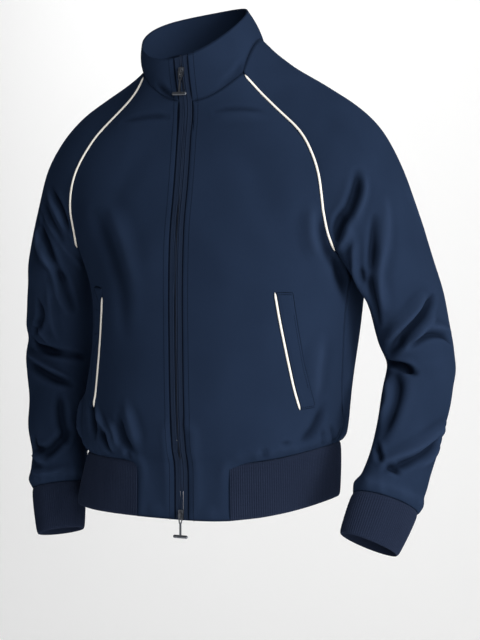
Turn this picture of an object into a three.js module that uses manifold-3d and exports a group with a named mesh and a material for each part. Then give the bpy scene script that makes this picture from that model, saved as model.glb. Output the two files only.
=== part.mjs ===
// Track jacket, worn form with no wearer: raglan sleeves, stand collar, two-way zip, ribbed hem and cuffs.
// Millimetres, +Z up, the front faces -Y, the wearer's left is +X. The origin is the centre of the neck base.
import * as THREE from 'three';
import { mergeVertices } from 'three/addons/utils/BufferGeometryUtils.js';
import Module from 'manifold-3d';

// Driving dimensions
const CLOTH = 1.6;
const COLLAR_CLOTH = 2.4;
const RIB_CLOTH = 2;
const RIB_RISE = 0.9;
const RIB_PITCH = 4.6;
const SEAM_GAP = 0.5;
const REST_GAP = 0.35;
const ZIP_HALF = 9.5;
const CHAIN_HALF = 2.2;
const PLACKET_HALF = 70;
const NECK_FRONT_Z = -73;
const RAGLAN_TOP_FRONT_Z = -35;
const RAGLAN_TOP_BACK_Z = -2;
const UNDERARM_Z = -300;
const RIB_TOP_Z = -562;
const HEM_Z = -638;
const POCKET_TOP_Z = -327;
const POCKET_BOTTOM_Z = -493;
const POCKET_TOP_X = { left: 137, right: 125 };
const POCKET_SLANT = { left: 24, right: 19 };
const POCKET_PIPING_START = { left: 0, right: 0.4 };
const WELT_REACH = { top: 19, bottom: 13 };
const PIPING_WIDTH = 3.4;
const PIPING_HEIGHT = 1.8;
const ROUNDNESS = 2.4;

// Grid counts
const CAP_ROWS = 10;
const FRONT_COLUMNS = 11;
const BACK_COLUMNS = 16;
const SLEEVE_COLUMNS = 16;
const SLEEVE_ROWS = 19;
const COLLAR_ROWS = 4;

const v3 = (x, y, z) => new THREE.Vector3(x, y, z);
const mix = (a, b, t) => a + (b - a) * t;
const rad = THREE.MathUtils.degToRad;
const clamp01 = (t) => Math.min(1, Math.max(0, t));
const ease = (t) => clamp01(t) * clamp01(t) * (3 - 2 * clamp01(t));
const bell = (distance, width) => Math.exp(-((distance / width) ** 2));

// A table is one column of stations and one row of values for each; values between stations lie on a smooth curve.
function makeTable(names, rows) {
  const stations = rows.map((row) => row[0]);
  const slope = (k, c) => {
    const a = Math.max(0, k - 1);
    const b = Math.min(rows.length - 1, k + 1);
    return (rows[b][c] - rows[a][c]) / (stations[b] - stations[a]);
  };
  return (at) => {
    const rising = stations[1] > stations[0];
    const inside = rising ? (s) => s <= at : (s) => s >= at;
    let k = Math.max(0, stations.filter(inside).length - 1);
    k = Math.min(k, rows.length - 2);
    const span = stations[k + 1] - stations[k];
    const t = clamp01((at - stations[k]) / span);
    const value = {};
    names.slice(1).forEach((name, n) => {
      const c = n + 1;
      const [p, q] = [rows[k][c], rows[k + 1][c]];
      const [m, w] = [slope(k, c) * span, slope(k + 1, c) * span];
      value[name] = (2 * t ** 3 - 3 * t ** 2 + 1) * p + (t ** 3 - 2 * t ** 2 + t) * m
        + (3 * t ** 2 - 2 * t ** 3) * q + (t ** 3 - t ** 2) * w;
    });
    return value;
  };
}

// Torso sections: reach to the wearer's left and right of the zip line, depth to the front and back,
// and the x of the zip line.
const torso = makeTable(['z', 'left', 'right', 'front', 'back', 'zip'], [
  [20, 68, 76, 66, 62, -10],
  [-20, 86, 92, 78, 72, -10],
  [-40, 96, 102, 81, 80, -10],
  [-60, 112, 114, 83, 88, -9],
  [-80, 139, 139, 85, 95, -9],
  [-100, 171, 171, 88, 101, -8],
  [-120, 197, 195, 92, 106, -8],
  [-140, 216, 214, 97, 110, -7],
  [-160, 230, 228, 102, 113, -6],
  [-180, 238, 236, 107, 115, -5],
  [-200, 240, 238, 112, 117, -4],
  [-240, 230, 222, 122, 120, -3],
  [-285, 218, 197, 130, 121, -2],
  [-340, 211, 178, 134, 121, -1],
  [-404, 203, 178, 135, 120, 0],
  [-452, 196, 186, 134, 119, 0],
  [-505, 190, 202, 131, 121, 0],
  [-532, 188, 206, 128, 122, 0],
  [-548, 185, 202, 125, 120, 0],
  [-562, 176, 191, 118, 112, 0],
  [-600, 176, 199, 118, 112, 0],
  [-638, 175, 212, 118, 112, 0],
]);

// Side seam: angle round the section from the zip line, in degrees.
const sideSeam = makeTable(['z', 'angle'], [
  [-300, 80], [-365, 78], [-450, 83], [-545, 90], [-638, 90],
]);

// Raglan seams: x from the zip line at each height, on each side.
const raglanFront = makeTable(['z', 'left', 'right'], [
  [-35, 73, 72], [-60, 94, 86], [-80, 115, 106], [-100, 142, 130], [-120, 161, 149], [-140, 173, 163],
  [-160, 182, 175], [-180, 187, 182], [-200, 190, 186], [-220, 192, 187], [-250, 196, 184], [-300, 208, 188],
]);
const raglanBack = makeTable(['z', 'left', 'right'], [
  [-2, 64, 70], [-30, 80, 84], [-60, 102, 104], [-100, 145, 142], [-140, 172, 168], [-180, 184, 178],
  [-220, 190, 182], [-250, 194, 183], [-300, 208, 188],
]);

// Broad folds of the body: x and z of the middle, half length along the fold, half width across it,
// depth (below 0 is a trough) and the fold's turn from level, in degrees. side: -1 front, 1 back.
const BODY_FOLDS = [
  // x, z, length, width, depth, turn, side
  [18, -104, 34, 7, -3, -8, -1],
  [-176, -500, 46, 10, -4, 70, -1],
  [-150, -516, 40, 9, -4, 84, -1],
  [-120, -522, 34, 9, -3, 92, -1],
  [92, -520, 36, 10, -3, 96, -1],
  [150, -505, 60, 12, 3, 82, -1],
  [185, -440, 90, 12, 3, 84, -1],
  [-110, -210, 70, 16, -4, 62, -1],
  [120, -215, 70, 16, -4, -62, -1],
  [60, -280, 110, 22, 3, -48, -1],
  [-60, -300, 110, 22, 3, 50, -1],
  [0, -470, 120, 20, -5, 8, 1],
  [40, -520, 110, 16, 5, 4, 1],
  [-90, -420, 90, 18, -4, 30, 1],
  [110, -380, 90, 18, -4, -35, 1],
  [-120, -230, 80, 18, -5, 60, 1],
  [120, -230, 80, 18, -5, -60, 1],
];

function bodyFold(x, z, side) {
  let depth = 0;
  for (const [fx, fz, length, width, rise, turn, foldSide] of BODY_FOLDS) {
    if (foldSide !== side) continue;
    const [c, s] = [Math.cos(rad(turn)), Math.sin(rad(turn))];
    const along = (x - fx) * c + (z - fz) * s;
    const across = (z - fz) * c - (x - fx) * s;
    depth += rise * bell(along, length) * bell(across, width);
  }
  return depth;
}

const HEM_LIFT_LEFT = 24;
const HEM_DROP_RIGHT = 0;

// A point of the torso: angle 0 at the zip, 90 at the wearer's left, -90 at the right, 180 at the back.
function torsoPoint(angle, z, folds = true) {
  const section = torso(z);
  const [sin, cos] = [Math.sin(angle), Math.cos(angle)];
  const reach = sin >= 0 ? section.left : section.right;
  const depth = cos >= 0 ? section.front : section.back;
  const side = cos >= 0 ? -1 : 1;
  const power = 2 / ROUNDNESS;
  const x = section.zip + Math.sign(sin) * reach * Math.abs(sin) ** power;
  let bulge = 0;
  if (folds) bulge = bodyFold(x, z, side) * ease(Math.abs(cos) * 3) * ease((z - RIB_TOP_Z) / 14);
  const y = side * (depth * Math.abs(cos) ** power + bulge);
  const tilt = ease((-400 - z) / 160) * sin * sin * (sin > 0 ? HEM_LIFT_LEFT : -HEM_DROP_RIGHT);
  return v3(x, y, z + tilt);
}

const sideName = (side) => (side > 0 ? 'left' : 'right');

// The angle at which the section at z reaches x (measured from the zip line, on one half).
function angleAtX(z, x, side) {
  const section = torso(z);
  const reach = side > 0 ? section.left : section.right;
  return Math.asin(Math.min(1, (x / reach)) ** (ROUNDNESS / 2));
}

// Rows of the body grid: CAP_ROWS from the neck to the underarm, then these heights.
const LOWER_Z = [POCKET_TOP_Z, -358, -391, -424, -458, POCKET_BOTTOM_Z, -513, -529, -542, -553, RIB_TOP_Z];
const PLACKET_Z = [-600, HEM_Z];
const BODY_Z = [...LOWER_Z, ...PLACKET_Z];
const rowOfZ = (z) => CAP_ROWS + 1 + BODY_Z.indexOf(z);
const RIB_ROW = rowOfZ(RIB_TOP_Z);
const POCKET_ROWS = [rowOfZ(POCKET_TOP_Z), rowOfZ(POCKET_BOTTOM_Z)];

// Columns of a front: the placket edge and the two edges of the welt keep a column of their own.
const PLACKET_COLUMN = 4;
const WELT_COLUMN = 7;
function frontColumns(z, side) {
  const into = clamp01((POCKET_TOP_Z - z) / (POCKET_TOP_Z - POCKET_BOTTOM_Z));
  const pipe = POCKET_TOP_X[sideName(side)] + POCKET_SLANT[sideName(side)] * into;
  const end = rad(sideSeam(z).angle);
  const first = angleAtX(z, ZIP_HALF, side);
  const marks = [
    [0, first],
    [1, angleAtX(z, 17, side)],
    [PLACKET_COLUMN, angleAtX(z, PLACKET_HALF, side)],
    [WELT_COLUMN, angleAtX(z, pipe, side)],
    [WELT_COLUMN + 1, angleAtX(z, pipe + mix(WELT_REACH.top, WELT_REACH.bottom, into), side)],
    [FRONT_COLUMNS, end],
  ];
  const angles = [];
  for (let j = 0; j <= FRONT_COLUMNS; j += 1) {
    const k = Math.max(1, marks.findIndex(([column]) => column >= j));
    const [[a, from], [b, to]] = [marks[k - 1], marks[k]];
    angles.push(mix(from, to, (j - a) / (b - a)));
  }
  return angles;
}

// A front: a patch between the zip edge, the neck, the raglan seam and the underarm line, then level rows.
function frontGrid(side) {
  const name = sideName(side);
  const low = frontColumns(UNDERARM_Z, side);
  const share = low.map((a) => (a - low[0]) / (low[FRONT_COLUMNS] - low[0]));
  const raglanTopX = raglanFront(RAGLAN_TOP_FRONT_Z)[name];
  const neck = share.map((u) => {
    const x = mix(ZIP_HALF, raglanTopX, u);
    const z = NECK_FRONT_Z + (RAGLAN_TOP_FRONT_Z - NECK_FRONT_Z) * (x / raglanTopX) ** 2.2;
    return [angleAtX(z, x, side), z];
  });
  const grid = [];
  for (let i = 0; i <= CAP_ROWS; i += 1) {
    const t = i / CAP_ROWS;
    const zEdge = mix(NECK_FRONT_Z, UNDERARM_Z, t);
    const edge = [angleAtX(zEdge, ZIP_HALF, side), zEdge];
    const zSeam = mix(RAGLAN_TOP_FRONT_Z, UNDERARM_Z, t);
    const seam = [angleAtX(zSeam, raglanFront(zSeam)[name], side), zSeam];
    if (i === CAP_ROWS) seam[0] = low[FRONT_COLUMNS];
    const ends = [[low[0], UNDERARM_Z], [low[FRONT_COLUMNS], UNDERARM_Z]];
    const row = share.map((u, j) => [0, 1].map((k) => {
      const plain = (n, end) => mix(neck[n][k], end, t);
      const atEdge = edge[k] - plain(0, ends[0][k]);
      const atSeam = seam[k] - plain(FRONT_COLUMNS, ends[1][k]);
      return plain(j, [low[j], UNDERARM_Z][k]) + atEdge * (1 - u) + atSeam * u * u;
    }));
    grid.push(row.map(([angle, z]) => torsoPoint(side * angle, z)));
  }
  for (const z of BODY_Z) {
    grid.push(frontColumns(z, side).map((angle) => torsoPoint(side * angle, z)));
  }
  return grid;
}

// The back: from the wearer's left seams, round the back, to the right ones.
function backGrid() {
  const grid = [];
  const backAngle = (z, x, side) => Math.PI - angleAtX(z, x, side);
  for (let i = 0; i <= CAP_ROWS + LOWER_Z.length; i += 1) {
    const row = [];
    const t = Math.min(1, i / CAP_ROWS);
    const lower = i > CAP_ROWS;
    const z = lower ? BODY_Z[i - CAP_ROWS - 1] : mix(RAGLAN_TOP_BACK_Z, UNDERARM_Z, t);
    const zMiddle = lower ? z : mix(-8, UNDERARM_Z, t);
    const reachTo = (side) => {
      if (i >= CAP_ROWS) return rad(sideSeam(z).angle);
      return backAngle(z, raglanBack(z)[sideName(side)], side);
    };
    const [from, to] = [reachTo(1), 2 * Math.PI - reachTo(-1)];
    for (let j = 0; j <= BACK_COLUMNS; j += 1) {
      const u = j / BACK_COLUMNS;
      const dip = Math.sin(Math.PI * u);
      row.push(torsoPoint(mix(from, to, u), mix(z, zMiddle, dip)));
    }
    grid.push(row);
  }
  return grid;
}

// Sleeve rows. outer: the point on the outside of the arm; inner: the one towards the body;
// depth: half of the section from front to back; lean: how far that way tips down to the back, in degrees.
const CUFF_SEAM_AT = 8;
const CUFF_END_AT = 9;
const SLEEVE_NAMES = ['at', 'ox', 'oy', 'oz', 'ix', 'iy', 'iz', 'depth', 'lean'];
const CAP_NAMES = ['at', 'x', 'y', 'z'];
const SLEEVES = {
  left: {
    cap: makeTable(CAP_NAMES, [
      [0, 61, -3, 12], [0.11, 99, -2, -16], [0.22, 134, 0, -38], [0.33, 170, 0, -57], [0.44, 204, 2, -79],
      [0.56, 235, 5, -107], [0.67, 257, 10, -143], [0.78, 273, 15, -186], [0.89, 288, 20, -233], [1, 302, 24, -281],
    ]),
    rows: makeTable(SLEEVE_NAMES, [
      [0, 302, 24, -281, 213, -28, -300, 69, -6],
      [1, 313, 29, -327, 227, 0, -342, 66, -8],
      [2, 325, 35, -378, 233, 18, -392, 61, -6],
      [3, 332, 38, -420, 240, 28, -425, 56, 2],
      [4, 333, 28, -462, 244, 12, -456, 54, 15],
      [5, 329, 8, -506, 246, -12, -496, 53, 26],
      [6, 323, -18, -552, 245, -38, -540, 51, 30],
      [7, 317, -38, -588, 239, -58, -572, 49, 30],
      [8, 312, -52, -614, 230, -72, -597, 44, 28],
      [9, 294, -80, -668, 222, -98, -645, 39, 26],
    ]),
    folds: [
      // at, angle, half length (degrees), half width (rows), depth, slant (rows for each 90 degrees)
      [2.1, -60, 60, 0.22, -7, 0.35],
      [2.5, -20, 70, 0.2, 4, 0.4],
      [3.1, -50, 65, 0.2, -8, -0.5],
      [3.5, 0, 60, 0.22, 4, -0.4],
      [3.2, -120, 45, 0.3, -7, 0.2],
      [4.3, -70, 60, 0.3, -3, 0.8],
      [5.8, -60, 70, 0.3, 4, 1.2],
      [6.6, -30, 70, 0.24, -4, -0.5],
      [7.3, -70, 60, 0.2, 4, 0.5],
      [2.6, 110, 60, 0.3, -6, 0.3],
      [3.4, 90, 70, 0.3, -5, -0.4],
      [6.2, 100, 70, 0.3, -4, 0.5],
      [0.6, -70, 30, 0.5, -5, 0.3],
      [1.2, 40, 80, 0.4, 3, 0.6],
    ],
  },
  right: {
    cap: makeTable(CAP_NAMES, [
      [0, -98, -8, -19], [0.11, -128, -4, -40], [0.22, -158, -2, -58], [0.33, -188, 0, -75], [0.44, -216, 2, -95],
      [0.56, -243, 4, -122], [0.67, -262, 7, -154], [0.78, -277, 11, -194], [0.89, -290, 15, -239],
      [1, -301, 18, -285],
    ]),
    rows: makeTable(SLEEVE_NAMES, [
      [0, -301, 18, -285, -194, -28, -300, 68, -6],
      [1, -313, 26, -333, -204, -2, -345, 64, -6],
      [2, -324, 36, -385, -213, 24, -393, 60, -4],
      [3, -326, 40, -425, -216, 36, -426, 56, 0],
      [4, -320, 32, -470, -215, 26, -466, 54, 10],
      [5, -311, 20, -520, -214, 12, -512, 52, 16],
      [6, -304, 10, -570, -213, 2, -560, 49, 16],
      [7, -299, 4, -608, -213, -4, -594, 46, 14],
      [8, -295, 0, -634, -215, -8, -614, 42, 12],
      [9, -281, -12, -698, -210, -18, -680, 37, 12],
    ]),
    folds: [
      [0.8, -70, 45, 0.3, -6, 0.6],
      [1.5, -60, 60, 0.3, -4, 0.8],
      [2.6, -40, 70, 0.22, -7, -0.6],
      [3, -80, 60, 0.2, -6, 0.3],
      [3.5, -30, 60, 0.22, 4, -0.5],
      [4.4, -70, 60, 0.3, -4, 0.7],
      [5.5, -50, 70, 0.3, 4, -0.6],
      [6.3, -40, 60, 0.24, -5, -0.6],
      [7.2, -60, 60, 0.2, 4, 0.4],
      [2.4, 110, 60, 0.3, -5, 0.3],
      [3.4, 90, 70, 0.3, -5, -0.4],
      [6, 100, 70, 0.3, -4, 0.5],
      [1.3, 50, 70, 0.4, 3, 0.5],
    ],
  },
};

function sleeveFold(folds, at, angle) {
  let depth = 0;
  const degrees = THREE.MathUtils.radToDeg(angle);
  for (const [middle, fold, length, width, rise, slant] of folds) {
    const off = ((degrees - fold + 540) % 360) - 180;
    const across = at - middle - (slant * off) / 90;
    depth += rise * bell(off, length) * bell(across, width);
  }
  return depth * ease((CUFF_SEAM_AT - at) * 2);
}

// How far short of a half turn an arc of the cap stops, so that it leaves the raglan seam along the body.
const SEAM_FLATTEN = 26;

// A sleeve: arcs from the front raglan seam over the arm to the back one, then closed rings to the cuff.
// Column 0 is the front edge, or the underarm line of a ring, and the last column the back edge.
function sleeveGrid(side, frontSeam, backSeam) {
  const { cap, rows, folds } = SLEEVES[side];
  const grid = [];
  for (let i = 0; i <= CAP_ROWS; i += 1) {
    const t = i / CAP_ROWS;
    const [front, back] = [frontSeam[i], backSeam[i]];
    const top = cap(t);
    const outer = v3(top.x, top.y, top.z);
    const middle = front.clone().add(back).multiplyScalar(0.5);
    const half = back.clone().sub(front).multiplyScalar(0.5);
    const start = rows(0);
    const spread = half.length();
    const roundness = start.depth * ease((t - 0.4) / 0.6);
    const full = Math.PI - Math.asin(spread / (spread ** 4 + roundness ** 4 + 0.001) ** 0.25);
    const end = full - rad(SEAM_FLATTEN) * (1 - ease(2 * t - 1));
    const depth = spread > 1 ? spread / Math.sin(end) : start.depth;
    const out = outer.clone().sub(middle).multiplyScalar(1 / (1 - Math.cos(end)));
    const centre = outer.clone().sub(out);
    const lean = rad(start.lean);
    const ringWay = v3(0, Math.cos(lean), -Math.sin(lean)).multiplyScalar(depth);
    const seamWay = spread > 1 ? half.clone().multiplyScalar(depth / spread) : ringWay;
    const way = seamWay.clone().lerp(ringWay, ease((t - 0.75) * 4));
    const row = [];
    for (let j = 0; j <= SLEEVE_COLUMNS; j += 1) {
      const angle = mix(-end, end, j / SLEEVE_COLUMNS);
      const edge = ease(Math.min(j, SLEEVE_COLUMNS - j) / 3);
      const lift = sleeveFold(folds, (t - 1) * 3, angle) * edge;
      const p = centre.clone().addScaledVector(out, Math.cos(angle)).addScaledVector(way, Math.sin(angle));
      p.addScaledVector(p.clone().sub(centre).normalize(), lift);
      row.push(p);
    }
    row[0] = front.clone();
    row[SLEEVE_COLUMNS] = back.clone();
    grid.push(row);
  }
  for (let i = 1; i <= SLEEVE_ROWS; i += 1) {
    grid.push(sleeveRing(rows, folds, (CUFF_SEAM_AT * i) / SLEEVE_ROWS));
  }
  return grid;
}

function sleeveRing(rows, folds, at) {
  const r = rows(at);
  const outer = v3(r.ox, r.oy, r.oz);
  const inner = v3(r.ix, r.iy, r.iz);
  const centre = outer.clone().add(inner).multiplyScalar(0.5);
  const out = outer.clone().sub(centre);
  const way = v3(0, Math.cos(rad(r.lean)), -Math.sin(rad(r.lean))).multiplyScalar(r.depth);
  const row = [];
  for (let j = 0; j <= SLEEVE_COLUMNS; j += 1) {
    const angle = mix(-Math.PI, Math.PI, j / SLEEVE_COLUMNS);
    const p = centre.clone().addScaledVector(out, Math.cos(angle)).addScaledVector(way, Math.sin(angle));
    p.addScaledVector(p.clone().sub(centre).normalize(), sleeveFold(folds, at, angle));
    row.push(p);
  }
  row[SLEEVE_COLUMNS] = row[0].clone();
  return row;
}

// Collar: from the neck seam to the rim, which leans and is higher at the back.
const NECK_CENTRE = v3(-20, -10, 0);
const RIM = { x: -30, y: -12, reach: 74.5, depth: 68 };
function collarGrid(seam) {
  const grid = [];
  for (let i = COLLAR_ROWS; i >= 0; i -= 1) {
    const t = i / COLLAR_ROWS;
    grid.push(seam.map((p) => {
      const a = Math.atan2(p.x - NECK_CENTRE.x, NECK_CENTRE.y - p.y);
      const z = 28 - 36 * Math.cos(a) + 10 * Math.sin(a) - 6 * Math.cos(2 * a);
      const rim = v3(RIM.x + RIM.reach * Math.sin(a), RIM.y - RIM.depth * Math.cos(a), z);
      const out = v3(Math.sin(a), -Math.cos(a), 0).multiplyScalar(3 * Math.sin(Math.PI * t));
      return p.clone().lerp(rim, t).add(out);
    }));
  }
  return grid;
}

// Normals are shared by every panel that meets at a point, so that walls meet along one line.
const key = (p) => [p.x, p.y, p.z].map((n) => Math.round(n * 200)).join(',');
const normals = new Map();
function quadNormal(a, b, c, d) {
  return c.clone().sub(a).cross(d.clone().sub(b));
}
function addNormals(panel) {
  const { grid, keep, flip } = panel;
  for (let i = 0; i < grid.length - 1; i += 1) {
    for (let j = 0; j < grid[i].length - 1; j += 1) {
      if (!keep(i, j)) continue;
      const corners = [grid[i][j], grid[i + 1][j], grid[i + 1][j + 1], grid[i][j + 1]];
      const n = quadNormal(...corners).multiplyScalar(flip ? -1 : 1);
      for (const k of new Set(corners.map(key))) {
        if (!normals.has(k)) normals.set(k, v3(0, 0, 0));
        normals.get(k).add(n);
      }
    }
  }
}
const normalAt = (p) => normals.get(key(p)).clone().normalize();

// A closed wall on the kept squares of a grid. outside and inside give the two heights over the grid.
function wall({ grid, keep = () => true, flip = false, normal, outside, inside, loopFrom = Infinity }) {
  const [rows, columns] = [grid.length - 1, grid[0].length - 1];
  const column = (i, j) => (i >= loopFrom && j === columns ? 0 : j);
  const id = (i, j) => i * (columns + 1) + column(i, j);
  const draw = new Map();
  const edges = new Map();
  const faces = [];
  for (let i = 0; i < rows; i += 1) {
    for (let j = 0; j < columns; j += 1) {
      if (!keep(i, j)) continue;
      let corners = [[i, j], [i + 1, j], [i + 1, j + 1], [i, j + 1]].map(([a, b]) => [a, column(a, b)]);
      const centre = corners.reduce((s, [a, b]) => s.add(grid[a][b]), v3(0, 0, 0)).multiplyScalar(0.25);
      if (flip) corners = corners.reverse();
      const ids = corners.map(([a, b]) => id(a, b));
      faces.push(corners);
      corners.forEach(([a, b], k) => {
        const n = ids[k];
        const way = centre.clone().sub(grid[a][b]).normalize();
        draw.set(n, (draw.get(n) ?? v3(0, 0, 0)).add(way));
        const edge = `${n}>${ids[(k + 1) % 4]}`;
        edges.set(edge, [corners[k], corners[(k + 1) % 4]]);
      });
    }
  }
  const open = [...edges.keys()].filter((edge) => !edges.has(edge.split('>').reverse().join('>')));
  const border = new Set(open.flatMap((edge) => edge.split('>').map(Number)));
  const positions = [];
  const places = new Map();
  const place = ([i, j], top) => {
    const n = id(i, j) * 2 + (top ? 1 : 0);
    if (!places.has(n)) {
      const p = grid[i][j].clone();
      const up = normal(i, j);
      if (border.has(id(i, j))) {
        const way = draw.get(id(i, j)).clone();
        way.addScaledVector(up, -way.dot(up)).normalize();
        p.addScaledVector(way, SEAM_GAP / 2);
      }
      p.addScaledVector(up, top ? outside(i, j) : inside(i, j));
      places.set(n, positions.length / 3);
      positions.push(p.x, p.y, p.z);
    }
    return places.get(n);
  };
  const index = [];
  const square = (a, b, c, d) => index.push(a, b, c, a, c, d);
  for (const corners of faces) {
    const [a, b, c, d] = corners.map((corner) => place(corner, false));
    square(...corners.map((corner) => place(corner, true)));
    index.push(a, c, b, a, d, c);
  }
  for (const edge of open) {
    const [a, b] = edges.get(edge);
    square(place(b, true), place(a, true), place(a, false), place(b, false));
  }
  return geometryOf(positions, index);
}

function geometryOf(positions, index) {
  const geometry = new THREE.BufferGeometry();
  geometry.setAttribute('position', new THREE.Float32BufferAttribute(positions, 3));
  geometry.setIndex(index);
  return geometry;
}

const all = () => true;
const fronts = {
  left: { grid: frontGrid(1), side: 1, flip: false },
  right: { grid: frontGrid(-1), side: -1, flip: true },
};
const back = { grid: backGrid(), flip: false, keep: all };
for (const front of Object.values(fronts)) {
  front.keep = (i, j) => i < RIB_ROW || j < PLACKET_COLUMN;
}
const seamOf = (grid, column) => grid.slice(0, CAP_ROWS + 1).map((row) => row[column]);

// The back's edge points at and below the underarm are the fronts' own.
for (let i = CAP_ROWS; i < back.grid.length; i += 1) {
  back.grid[i][0] = fronts.left.grid[i][FRONT_COLUMNS].clone();
  back.grid[i][BACK_COLUMNS] = fronts.right.grid[i][FRONT_COLUMNS].clone();
}

const sleeves = {
  left: { grid: sleeveGrid('left', seamOf(fronts.left.grid, FRONT_COLUMNS), seamOf(back.grid, 0)), flip: false },
  right: {
    grid: sleeveGrid('right', seamOf(fronts.right.grid, FRONT_COLUMNS), seamOf(back.grid, BACK_COLUMNS)),
    flip: true,
  },
};
for (const sleeve of Object.values(sleeves)) sleeve.keep = all;

// Neck seam: left front, left sleeve, back, right sleeve, right front, in that order.
const neckSeam = [
  ...fronts.left.grid[0],
  ...sleeves.left.grid[0].slice(1),
  ...back.grid[0].slice(1),
  ...[...sleeves.right.grid[0]].reverse().slice(1),
  ...[...fronts.right.grid[0]].reverse().slice(1),
];
const collar = { grid: collarGrid(neckSeam), flip: false, keep: all };

// Ribbed pieces start as plain bands from the edge of the cloth above them.
function hemBand() {
  const bottomAngles = (side) => frontColumns(HEM_Z, side).slice(PLACKET_COLUMN);
  const top = [
    ...fronts.left.grid[RIB_ROW].slice(PLACKET_COLUMN),
    ...back.grid[RIB_ROW].slice(1),
    ...[...fronts.right.grid[RIB_ROW]].reverse().slice(1, FRONT_COLUMNS - PLACKET_COLUMN + 1),
  ];
  const leftAngles = bottomAngles(1);
  const rightAngles = bottomAngles(-1).map((a) => 2 * Math.PI - a).reverse();
  const [from, to] = [leftAngles[leftAngles.length - 1], rightAngles[0]];
  const backAngles = [];
  for (let j = 1; j < BACK_COLUMNS; j += 1) backAngles.push(mix(from, to, j / BACK_COLUMNS));
  const angles = [...leftAngles, ...backAngles, ...rightAngles];
  const bottom = angles.map((a) => torsoPoint(a, HEM_Z));
  return [top, bottom];
}
function cuffBand(side) {
  const { rows } = SLEEVES[side];
  const { grid } = sleeves[side];
  return [grid[grid.length - 1], sleeveRing(rows, [], CUFF_END_AT)];
}
const bands = {
  hem_rib: { grid: hemBand(), flip: false, keep: all },
  cuff_left: { grid: cuffBand('left'), flip: false, keep: all, loop: true },
  cuff_right: { grid: cuffBand('right'), flip: true, keep: all, loop: true },
};

const cloths = [fronts.left, fronts.right, back, sleeves.left, sleeves.right, collar];
for (const piece of [...cloths, ...Object.values(bands)]) addNormals(piece);

function clothWall(piece, thickness, more = {}) {
  return wall({
    grid: piece.grid,
    keep: piece.keep,
    flip: piece.flip,
    normal: (i, j) => normalAt(piece.grid[i][j]),
    outside: () => 0,
    inside: () => -thickness,
    ...more,
  });
}

// Ribs: each coarse square is cut into an even number of strips whose edges rise in turn, over a plain inside.
function ribWall(band) {
  const fine = [[], []];
  const up = [[], []];
  const [top, bottom] = band.grid;
  for (let j = 0; j < top.length - 1; j += 1) {
    const strips = 2 * Math.max(1, Math.round(top[j].distanceTo(top[j + 1]) / RIB_PITCH));
    const last = j === top.length - 2;
    for (let k = 0; k < strips + (last ? 1 : 0); k += 1) {
      [top, bottom].forEach((line, r) => {
        fine[r].push(line[j].clone().lerp(line[j + 1], k / strips));
        up[r].push(normalAt(line[j]).lerp(normalAt(line[j + 1]), k / strips).normalize());
      });
    }
  }
  return wall({
    grid: fine,
    flip: band.flip,
    normal: (i, j) => up[i][j],
    outside: (i, j) => (j % 2 ? RIB_RISE : 0),
    inside: () => -RIB_CLOTH,
    loopFrom: band.loop ? 0 : Infinity,
  });
}

// Welt: the pocket's squares of the front, moved out.
function weltWall(front) {
  const [first, last] = POCKET_ROWS;
  return clothWall(front, 0, {
    keep: (i, j) => i >= first && i < last && j === WELT_COLUMN,
    outside: () => REST_GAP + 1.6,
    inside: () => REST_GAP,
  });
}

// Piping: a low bead along a line of points, with its flat side on the cloth.
function bead(points, ups, width, height, raises) {
  const profile = [[-0.5, 0], [0.5, 0], [0.5, 0.45], [0.22, 1], [-0.22, 1], [-0.5, 0.45]];
  const positions = [];
  const index = [];
  points.forEach((p, i) => {
    const along = points[Math.min(i + 1, points.length - 1)].clone().sub(points[Math.max(i - 1, 0)]).normalize();
    const up = ups[i].clone().addScaledVector(along, -ups[i].dot(along)).normalize();
    const across = up.clone().cross(along);
    for (const [a, b] of profile) {
      const q = p.clone().addScaledVector(across, a * width).addScaledVector(up, raises[i] + b * height);
      positions.push(q.x, q.y, q.z);
    }
  });
  const n = profile.length;
  for (let i = 0; i < points.length - 1; i += 1) {
    for (let k = 0; k < n; k += 1) {
      const [a, b] = [i * n + k, i * n + ((k + 1) % n)];
      index.push(a, b, b + n, a, b + n, a + n);
    }
  }
  const end = (points.length - 1) * n;
  for (let k = 1; k < n - 1; k += 1) {
    index.push(0, k + 1, k, end, end + k, end + k + 1);
  }
  return outward(geometryOf(positions, index));
}

// Turns a closed shape's faces outwards if its volume comes out below 0.
function outward(geometry) {
  const p = geometry.getAttribute('position');
  const index = geometry.getIndex();
  const [a, b, c] = [v3(0, 0, 0), v3(0, 0, 0), v3(0, 0, 0)];
  let volume = 0;
  for (let t = 0; t < index.count; t += 3) {
    a.fromBufferAttribute(p, index.getX(t));
    b.fromBufferAttribute(p, index.getX(t + 1));
    c.fromBufferAttribute(p, index.getX(t + 2));
    volume += a.dot(b.clone().cross(c));
  }
  if (volume < 0) geometry.setIndex([...index.array].reverse());
  return geometry;
}

// How high a bead of a width must sit over a seam point to clear the cloth on both sides of it.
function clearHeight(p, up, neighbours, width) {
  const rises = neighbours.map((q) => {
    const way = q.clone().sub(p);
    const rise = way.dot(up);
    const run = Math.sqrt(Math.max(1, way.lengthSq() - rise * rise));
    return (rise / run) * (width / 2 + SEAM_GAP);
  });
  return REST_GAP + 1.2 * Math.max(0, ...rises);
}

function raglanPiping(front, sleeve) {
  const rows = [...Array(CAP_ROWS).keys()];
  const points = rows.map((i) => front.grid[i][FRONT_COLUMNS].clone());
  const ups = points.map(normalAt);
  const raises = rows.map((i) => {
    const near = [Math.max(0, i - 1), i, i + 1];
    const neighbours = near.flatMap((k) => [front.grid[k][FRONT_COLUMNS - 1], sleeve.grid[k][1]]);
    return clearHeight(points[i], ups[i], neighbours, PIPING_WIDTH);
  });
  points[0].lerp(points[1], 0.12);
  return bead(points, ups, PIPING_WIDTH, PIPING_HEIGHT, raises);
}

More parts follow.
